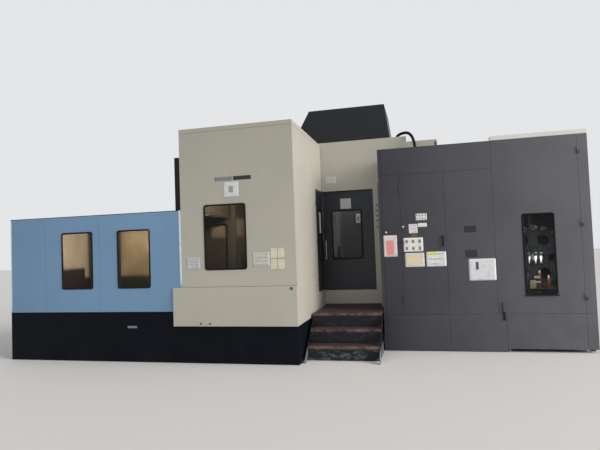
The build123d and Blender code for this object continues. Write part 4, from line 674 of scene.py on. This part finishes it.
def paper(name, base, low, high, plane="front", gloss=0.55, field=None, field_box=None, lines=0,
          marks=None):
    """Paper or plate material: a base colour, one coloured field, rows of grey dashes and plain marks.

    They are masks of the place on the card, from 0 to 1 across and up. field_box is left, right,
    bottom and top, and marks is how many stand side by side and how many above each other.
    """
    material, tree, shader = fresh(name)
    plain = stretched(tree, (1, 1, 1))
    across = fade(tree, "X" if plane == "front" else "Y", low[0], high[0])
    up = fade(tree, "Z", low[1], high[1])
    aged = [c * 0.82 for c in srgb(base)[:3]] + [1]
    color = mixed(tree, spread(tree, noise(tree, plain, 16, 4, 0.6), 0.45, 0.75), srgb(base), aged)
    if field:
        mask = product(tree, between(tree, across, *field_box[:2]), between(tree, up, *field_box[2:]))
        color = mixed(tree, mask, color, srgb(field))
    if lines:
        rows = maths(tree, "FRACT", product(tree, up, lines), 0)
        grain = noise(tree, stretched(tree, (40, 40, 90)), 1, 1)
        mask = product(tree, between(tree, rows, 0.4, 0.62), between(tree, across, 0.12, 0.88),
                       maths(tree, "GREATER_THAN", grain, 0.45), between(tree, up, 0.08, 0.92), 0.55)
        color = mixed(tree, mask, color, srgb("55555A"))
    if marks:
        column, row = (maths(tree, "FRACT", product(tree, value, count), 0)
                       for value, count in zip((across, up), marks))
        mask = product(tree, between(tree, column, 0.3, 0.68), between(tree, row, 0.25, 0.7),
                       between(tree, across, 0.02, 0.98), 0.8)
        color = mixed(tree, mask, color, srgb("3A3A3E"))
    tree.links.new(color, shader.inputs["Base Color"])
    shader.inputs["Roughness"].default_value = gloss
    embossed(tree, shader, noise(tree, plain, 9, 3), 0.0008)
    return material


# Each card: name, plane, body, then its low and high corner with x measured from the tower's right
# face, its colour, and what is printed on it.
PAPER_CURL = 0.006
CARDS = (
    ("tower_badge_bar", FRONT_Y, "machine", (-1.22, 2.725), (-0.93, 2.785), "77787C", {}),
    ("tower_badge_tail", FRONT_Y, "machine", (-0.925, 2.725), (-0.645, 2.785), "1D1D20", {}),
    ("tower_card", FRONT_Y, "machine", (-1.085, 2.475), (-0.85, 2.70), "C9CACB",
     dict(field="8C8F94", field_box=(0.35, 0.65, 0.3, 0.75))),
    ("tower_label_left", FRONT_Y, "machine", (-1.72, 1.41), (-1.50, 1.59), "B9B5BB", dict(lines=4)),
    ("tower_label_mid", FRONT_Y, "machine", (-0.66, 1.43), (-0.40, 1.63), "BDBBB4", dict(lines=4)),
    ("tower_label_right_1", FRONT_Y, "machine", (-0.384, 1.54), (-0.286, 1.685), "C9C9AE", {}),
    ("tower_label_right_2", FRONT_Y, "machine", (-0.274, 1.54), (-0.176, 1.685), "C9C9AE", {}),
    ("tower_label_right_3", FRONT_Y, "machine", (-0.384, 1.375), (-0.286, 1.525), "C9C9AE", {}),
    ("tower_label_right_4", FRONT_Y, "machine", (-0.274, 1.375), (-0.176, 1.525), "C9C9AE", {}),
    ("header_label", BAY_Y, "machine", (0.087, 2.825), (0.274, 2.957), "C6C6BE", dict(lines=3)),
    ("door_sheet", LEAF_Y, "bay_door", (0.33, 2.36), (0.53, 2.55), "C4C6C4", dict(lines=6)),
    ("bay_door_window_strip", LEAF_Y, "bay_door", (0.180, 1.47), (0.238, 2.31), "5D626A", {}),
    ("bay_door_tag", LEAF_Y, "bay_door", (0.61, 2.09), (0.69, 2.26), "B4B7BB",
     dict(field="6A6C70", field_box=(0.3, 0.75, 0.2, 0.7))),
    ("cabinet_sheet_1", CABINET_Y, "machine", (1.175, 1.48), (1.385, 1.82), "CFC8C8",
     dict(field="D98A84", field_box=(0.18, 0.74, 0.08, 0.76))),
    ("cabinet_sheet_2", CABINET_Y, "cabinet_door", (1.485, 1.55), (1.785, 1.77), "DAD9D5",
     dict(marks=(3, 2))),
    ("cabinet_sheet_3", CABINET_Y, "cabinet_door", (1.50, 1.31), (1.795, 1.53), "CFC9BB",
     dict(field="D5C9A4", field_box=(0.1, 0.7, 0.3, 0.8))),
    ("cabinet_sheet_4", CABINET_Y, "cabinet_door", (1.825, 1.31), (2.125, 1.54), "D4D6D6",
     dict(field="DCD27A", field_box=(0.0, 0.6, 0.8, 1.0), lines=3)),
    ("cabinet_sheet_5", CABINET_Y, "cabinet_door", (1.69, 2.04), (1.86, 2.145), "CFD0D0",
     dict(marks=(4, 2))),
    ("cabinet_sheet_6", CABINET_Y, "cabinet_door", (1.575, 1.84), (1.71, 1.985), "CFCED0", dict(lines=3)),
    ("cabinet_sheet_7", CABINET_Y, "cabinet_door", (1.715, 1.935), (1.855, 1.995), "D6D5D5", {}),
    ("cabinet_sheet_8", CABINET_Y, "machine", (2.45, 1.08), (2.842, 1.41), "D2D3D6",
     dict(field="4C4C50", field_box=(0.26, 0.37, 0.5, 0.86))),
    ("cabinet_tag", CABINET_Y, "cabinet_door", (1.61, 1.785), (1.70, 1.822), "6E5426", {}),
    # A pale strip beside the tower's left corner: a painted highlight.
    ("guard_edge_highlight", FRONT_Y, "machine", (-1.834, 1.14), (-1.802, 2.318), "CDD3D8", {}),
    ("guard_left_strip", FRONT_Y, "machine", (-4.919, 0.785), (-4.902, 2.30), "BCC8CA", {}),
    ("cabinet_plate_1", CABINET_Y, "machine", (2.41, 1.82), (2.59, 1.92), "1B1C1F", {}),
    ("cabinet_plate_2", CABINET_Y, "machine", (2.41, 1.44), (2.59, 1.55), "1E1F22", {}),
)
for name, depth, body, (left, bottom), (right, top), base, printed in CARDS:
    low, high = (left + TOWER_RIGHT, bottom), (right + TOWER_RIGHT, top)
    piece = card(name, depth, low, high, PAPER_CURL if "sheet" in name or "label" in name else 0)
    piece.data.materials.append(paper(name + "_print", base, low, high, **printed))
    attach(piece, body)


# Domed screw heads where the panels are screwed down, turned steel knobs and a plastic plug. Each
# row is one mesh, seated half a millimetre off its panel.
def turned(name, spots, axis, profile, columns=20):
    """Turned parts in one mesh: each point (radius r, height h) goes round as r cos t, r sin t, h."""
    axis = np.array(axis, dtype=float)
    first = np.roll(axis, 1)
    turn = np.linspace(0, 2 * math.pi, columns, endpoint=False)[None, :, None]
    radius, height = (np.array(values)[:, None, None] for values in zip(*profile))
    shape = radius * (np.cos(turn) * first + np.sin(turn) * np.cross(axis, first)) + height * axis
    return skinned(name, *[shape + np.array(spot) for spot in spots])


def dome(radius, height, rings=5):
    """Profile of a domed head: r = R cos a, h = H sin a up to near the pole."""
    rise = np.linspace(0, math.pi / 2 * 0.96, rings)
    return [(radius, 0)] + [(radius * math.cos(a), 0.001 + height * math.sin(a)) for a in rise]


plug_green = powder_coat("plug_green", "0E5F3C", "0A2A1C", 0.2, 0.05, 0.3, 0.0001)
SKIRT_Y = FRONT_Y - 0.025
SEAT = 0.0005
JAMB_STUD_ZS = (2.40, 2.295, 2.20, 2.11, 2.0)
SCREWS = (
    ("skirt_bolts", "machine", SKIRT_Y, 0.014, 0.008, [(-1.504, 0.595), (-1.354, 0.595)], black),
    ("jamb_studs", "machine", BAY_Y, 0.014, 0.010, [(1.0, z) for z in JAMB_STUD_ZS], black),
    ("skirt_plug", "machine", SKIRT_Y, 0.024, 0.008, [(-0.078, 1.10)], plug_green),
    ("cabinet_knob_left", "machine", CABINET_Y, 0.016, 0.022, [(1.22, 1.87)], white),
    ("cabinet_knob_door", "cabinet_door", CABINET_Y, 0.016, 0.022, [(1.487, 1.946)], white),
)
for name, body, depth, radius, height, spots, material in SCREWS:
    spots = [(x + TOWER_RIGHT, depth + SEAT, z) for x, z in spots]
    piece = turned(name, spots, (0, -1, 0), dome(radius, height))
    piece.data.materials.append(material)
    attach(piece, body)


# The magazine door's inner racks: a rail with hanging tool holders and a shelf with small parts.
# Bent steel strip on feet that stand on the door's sheet; they swing with the door.
def blocks(name, *spans):
    """Upright blocks in one mesh, each given by its low and high corner, with their edges broken."""
    square = np.array([(0, 0), (1, 0), (1, 1), (0, 1)])
    grids = []
    for low, high in spans:
        low, high = np.array(low), np.array(high)
        outline = low[:2] + square * (high - low)[:2]
        grids.append(np.stack([np.insert(outline, 2, z, axis=1) for z in (low[2], high[2])]))
    piece = skinned(name, *grids, smooth=False)
    bevel = piece.modifiers.new("broken_edge", "BEVEL")
    bevel.width = EDGE
    bevel.segments = 2
    return piece


EDGE = 0.0015
STRIP_T, FOOT_W = 0.008, 0.02
RACK_X, RACK_Y = (3.58, 4.08), (-0.955, -0.892)
SHEET_BACK = CABINET_Y + 0.0028
RAIL_Z, SHELF_Z = 1.455, 0.935
RAIL_TOP, SHELF_TOP = RAIL_Z + STRIP_T, SHELF_Z + STRIP_T
POST_X, POST_TOP, POST_T = (3.705, 3.735), 2.12, 0.012
HOLDER_XS, BOTTLE_X, PIN_X, PIN_TOP, LANE_Y = (3.688, 3.78, 3.856), 3.95, 3.825, 1.16, -0.925
racks = [((RACK_X[0], RACK_Y[0], z), (RACK_X[1], RACK_Y[1], z + STRIP_T)) for z in (RAIL_Z, SHELF_Z)]
racks += [((x, SHEET_BACK, z - 0.01), (x + FOOT_W, RACK_Y[0], z + 0.02))
          for x in (RACK_X[0], RACK_X[1] - FOOT_W) for z in (RAIL_Z, SHELF_Z)]
racks += [((POST_X[0], RACK_Y[0], RAIL_TOP), (POST_X[1], RACK_Y[0] + POST_T, POST_TOP)),
          ((POST_X[0], SHEET_BACK, POST_TOP - 0.03), (POST_X[1], RACK_Y[0], POST_TOP))]
boxes = (((3.68, -0.95, SHELF_TOP), (3.765, -0.9, 1.06)), ((3.745, -0.94, 1.09), (3.83, -0.905, 1.125)),
         ((3.765, -0.94, 1.02), (3.83, -0.905, 1.045)))
pin = ((PIN_X - 0.013, -0.935, SHELF_TOP), (PIN_X + 0.013, -0.91, PIN_TOP))
HOLDER = ((0.009, -0.15), (0.011, -0.148), (0.012, -0.09), (0.017, -0.085), (0.019, -0.004),
          (0.024, -0.002), (0.024, 0.012), (0.018, 0.014), (0.018, 0.018))
STUD = ((0.008, 0), (0.008, 0.02), (0.012, 0.024), (0.012, 0.036), (0.007, 0.044), (0.007, 0.056))
BOTTLE = ((0.021, 0), (0.023, 0.003), (0.023, 0.12), (0.012, 0.145))
CAP = ((0.0125, 0), (0.0135, 0.003), (0.0135, 0.038), (0.009, 0.043))
UP = (0, 0, 1)
holder_spots = [(x, LANE_Y, RAIL_TOP) for x in HOLDER_XS]
stud_spots = [(x, LANE_Y, RAIL_TOP + HOLDER[-1][1]) for x in HOLDER_XS[1:]]
cap_spots = [(BOTTLE_X, LANE_Y, SHELF_TOP + BOTTLE[-1][1]), (PIN_X, LANE_Y, PIN_TOP)]
pale_plastic = powder_coat("pale_plastic", "D8D2CF", "8A847C", 0.25, 0.1, 0.35, 0.0002)
teal_plastic = powder_coat("teal_plastic", "1C7A66", "0C2A22", 0.2, 0.1, 0.3, 0.0001)
beige_box = powder_coat("beige_box", "CFC2A2", "6A5C44", 0.3, 0.1, 0.6, 0.0003)
amber_plastic = powder_coat("amber_plastic", "9A5A22", "3A2410", 0.3, 0.1, 0.3, 0.0001)
rack_paint = powder_coat("rack_paint", "4C4A50", "1E1E20", 0.4, 0.2, 0.5)
for piece, material in (
        (blocks("magazine_door_racks", *racks), rack_paint),
        (turned("rack_holders", holder_spots, UP, HOLDER), pale_plastic),
        (turned("rack_studs", stud_spots, UP, STUD), teal_plastic),
        (blocks("shelf_boxes", *boxes), beige_box),
        (blocks("shelf_post", pin), amber_plastic),
        (turned("shelf_bottle", [(BOTTLE_X, LANE_Y, SHELF_TOP)], UP, BOTTLE), amber_plastic),
        (turned("shelf_caps", cap_spots, UP, CAP), pale_plastic)):
    piece.data.materials.append(material)
    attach(piece, "magazine_door")

# Console: a screen in a rubber bezel over a keypad of moulded caps, a yellow collar round the stop
# button and white dots round the override knob. It all rides on the machine.
CONSOLE_X, KEY_FACE = 1.471, 1.467
SCREEN_LOW, SCREEN_HIGH, BEZEL_R = (-0.841, 1.70), (-0.401, 2.10), 0.012
KEYS_Y, KEYS_Z, KEY, KEY_PITCH, KEY_H = -0.812, 1.468, 0.025, 0.038, 0.004
KEY_COLUMNS, KEY_ROWS = 10, 5
DIAL_Y, DIAL_Z, DIAL_R, ON_FACE = -0.731, 1.38, 0.029, 0.0002
STOP_SPOT = (CONSOLE_X, -0.421, 1.24)
OUT = (-1, 0, 0)
screen_face = paper("screen_face", "0E1C28", SCREEN_LOW, SCREEN_HIGH, "side", 0.15, "245074",
                    (0.04, 0.62, 0.34, 0.9), 7)
dress(screen_face, "console_screen")
key_feet = [(KEYS_Y + KEY_PITCH * i, KEYS_Z + KEY_PITCH * j)
            for i in range(KEY_COLUMNS) for j in range(KEY_ROWS)]
keys = [((KEY_FACE - KEY_H, y, z), (KEY_FACE - ON_FACE, y + KEY, z + KEY)) for y, z in key_feet]
dots = [(CONSOLE_X - ON_FACE, DIAL_Y + DIAL_R * math.cos(a), DIAL_Z + DIAL_R * math.sin(a))
        for a in np.radians(np.arange(-45, 226, 30))]
collar_yellow = powder_coat("collar_yellow", "D8B21C", "4A3A0C", 0.15, 0.05, 0.35, 0.0001)
COLLAR = ((0.021, 0.0003), (0.034, 0.0003), (0.034, 0.0022), (0.021, 0.0026))
bezel = glazing_ring("screen_bezel", "left", CONSOLE_X, SCREEN_LOW, SCREEN_HIGH, BEZEL_R, 0.009)
for piece, material, slot in (
        (bezel, rubber, "black_rubber"),
        (blocks("console_keys", *keys), pale_plastic, "white_paint"),
        (turned("dial_dots", dots, OUT, dome(0.0024, 0.0008), 10), white, "white_paint"),
        (turned("stop_collar", [STOP_SPOT], OUT, COLLAR, 32), collar_yellow, "button_amber")):
    piece.data.materials.append(material)
    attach(piece, "machine")

# The hatch's interlock: a white rod between two black clamps on its glass, with a pale card behind
# the glass as a painted reflection in it. The magazine window's drip ledge is a folded black strip.
ON_SHEET = 0.0002
CLAMP_X, CLAMP_Y = (TOWER_RIGHT + ON_SHEET, 0.392), (-0.312, -0.266)
ROD = ((0.370, -0.302, 1.92), (0.388, -0.276, 2.30))
CLAMPS_Z = ((2.30, 2.375), (1.845, 1.92))
CLAMPS = [((CLAMP_X[0], CLAMP_Y[0], z0), (CLAMP_X[1], CLAMP_Y[1], z1)) for z0, z1 in CLAMPS_Z]
# A pale card behind the hatch glass: a painted reflection.
HATCH_REFLECTION_CARD = ((0.345, -0.420, 1.44), (0.351, -0.115, 1.88))
LEDGE = ((3.595, -1.012, 0.838), (4.065, CABINET_Y - ON_SHEET, 0.856))
FOOT_STRIP = ((3.275, -1.006, 0.475), (3.305, CABINET_Y - ON_SHEET, 0.74))
for piece, material, body, slot in (
        (blocks("hatch_rod", ROD), white, "hatch", "white_paint"),
        (blocks("hatch_clamps", *CLAMPS), black, "hatch", "black_trim"),
        (blocks("hatch_reflection_card", HATCH_REFLECTION_CARD), beige_box, "hatch", "cream_paint"),
        (blocks("magazine_ledge", LEDGE), black, "magazine_door", "black_trim"),
        (blocks("cabinet_foot_strip", FOOT_STRIP), black, "machine", "black_trim")):
    piece.data.materials.append(material)
    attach(piece, body)
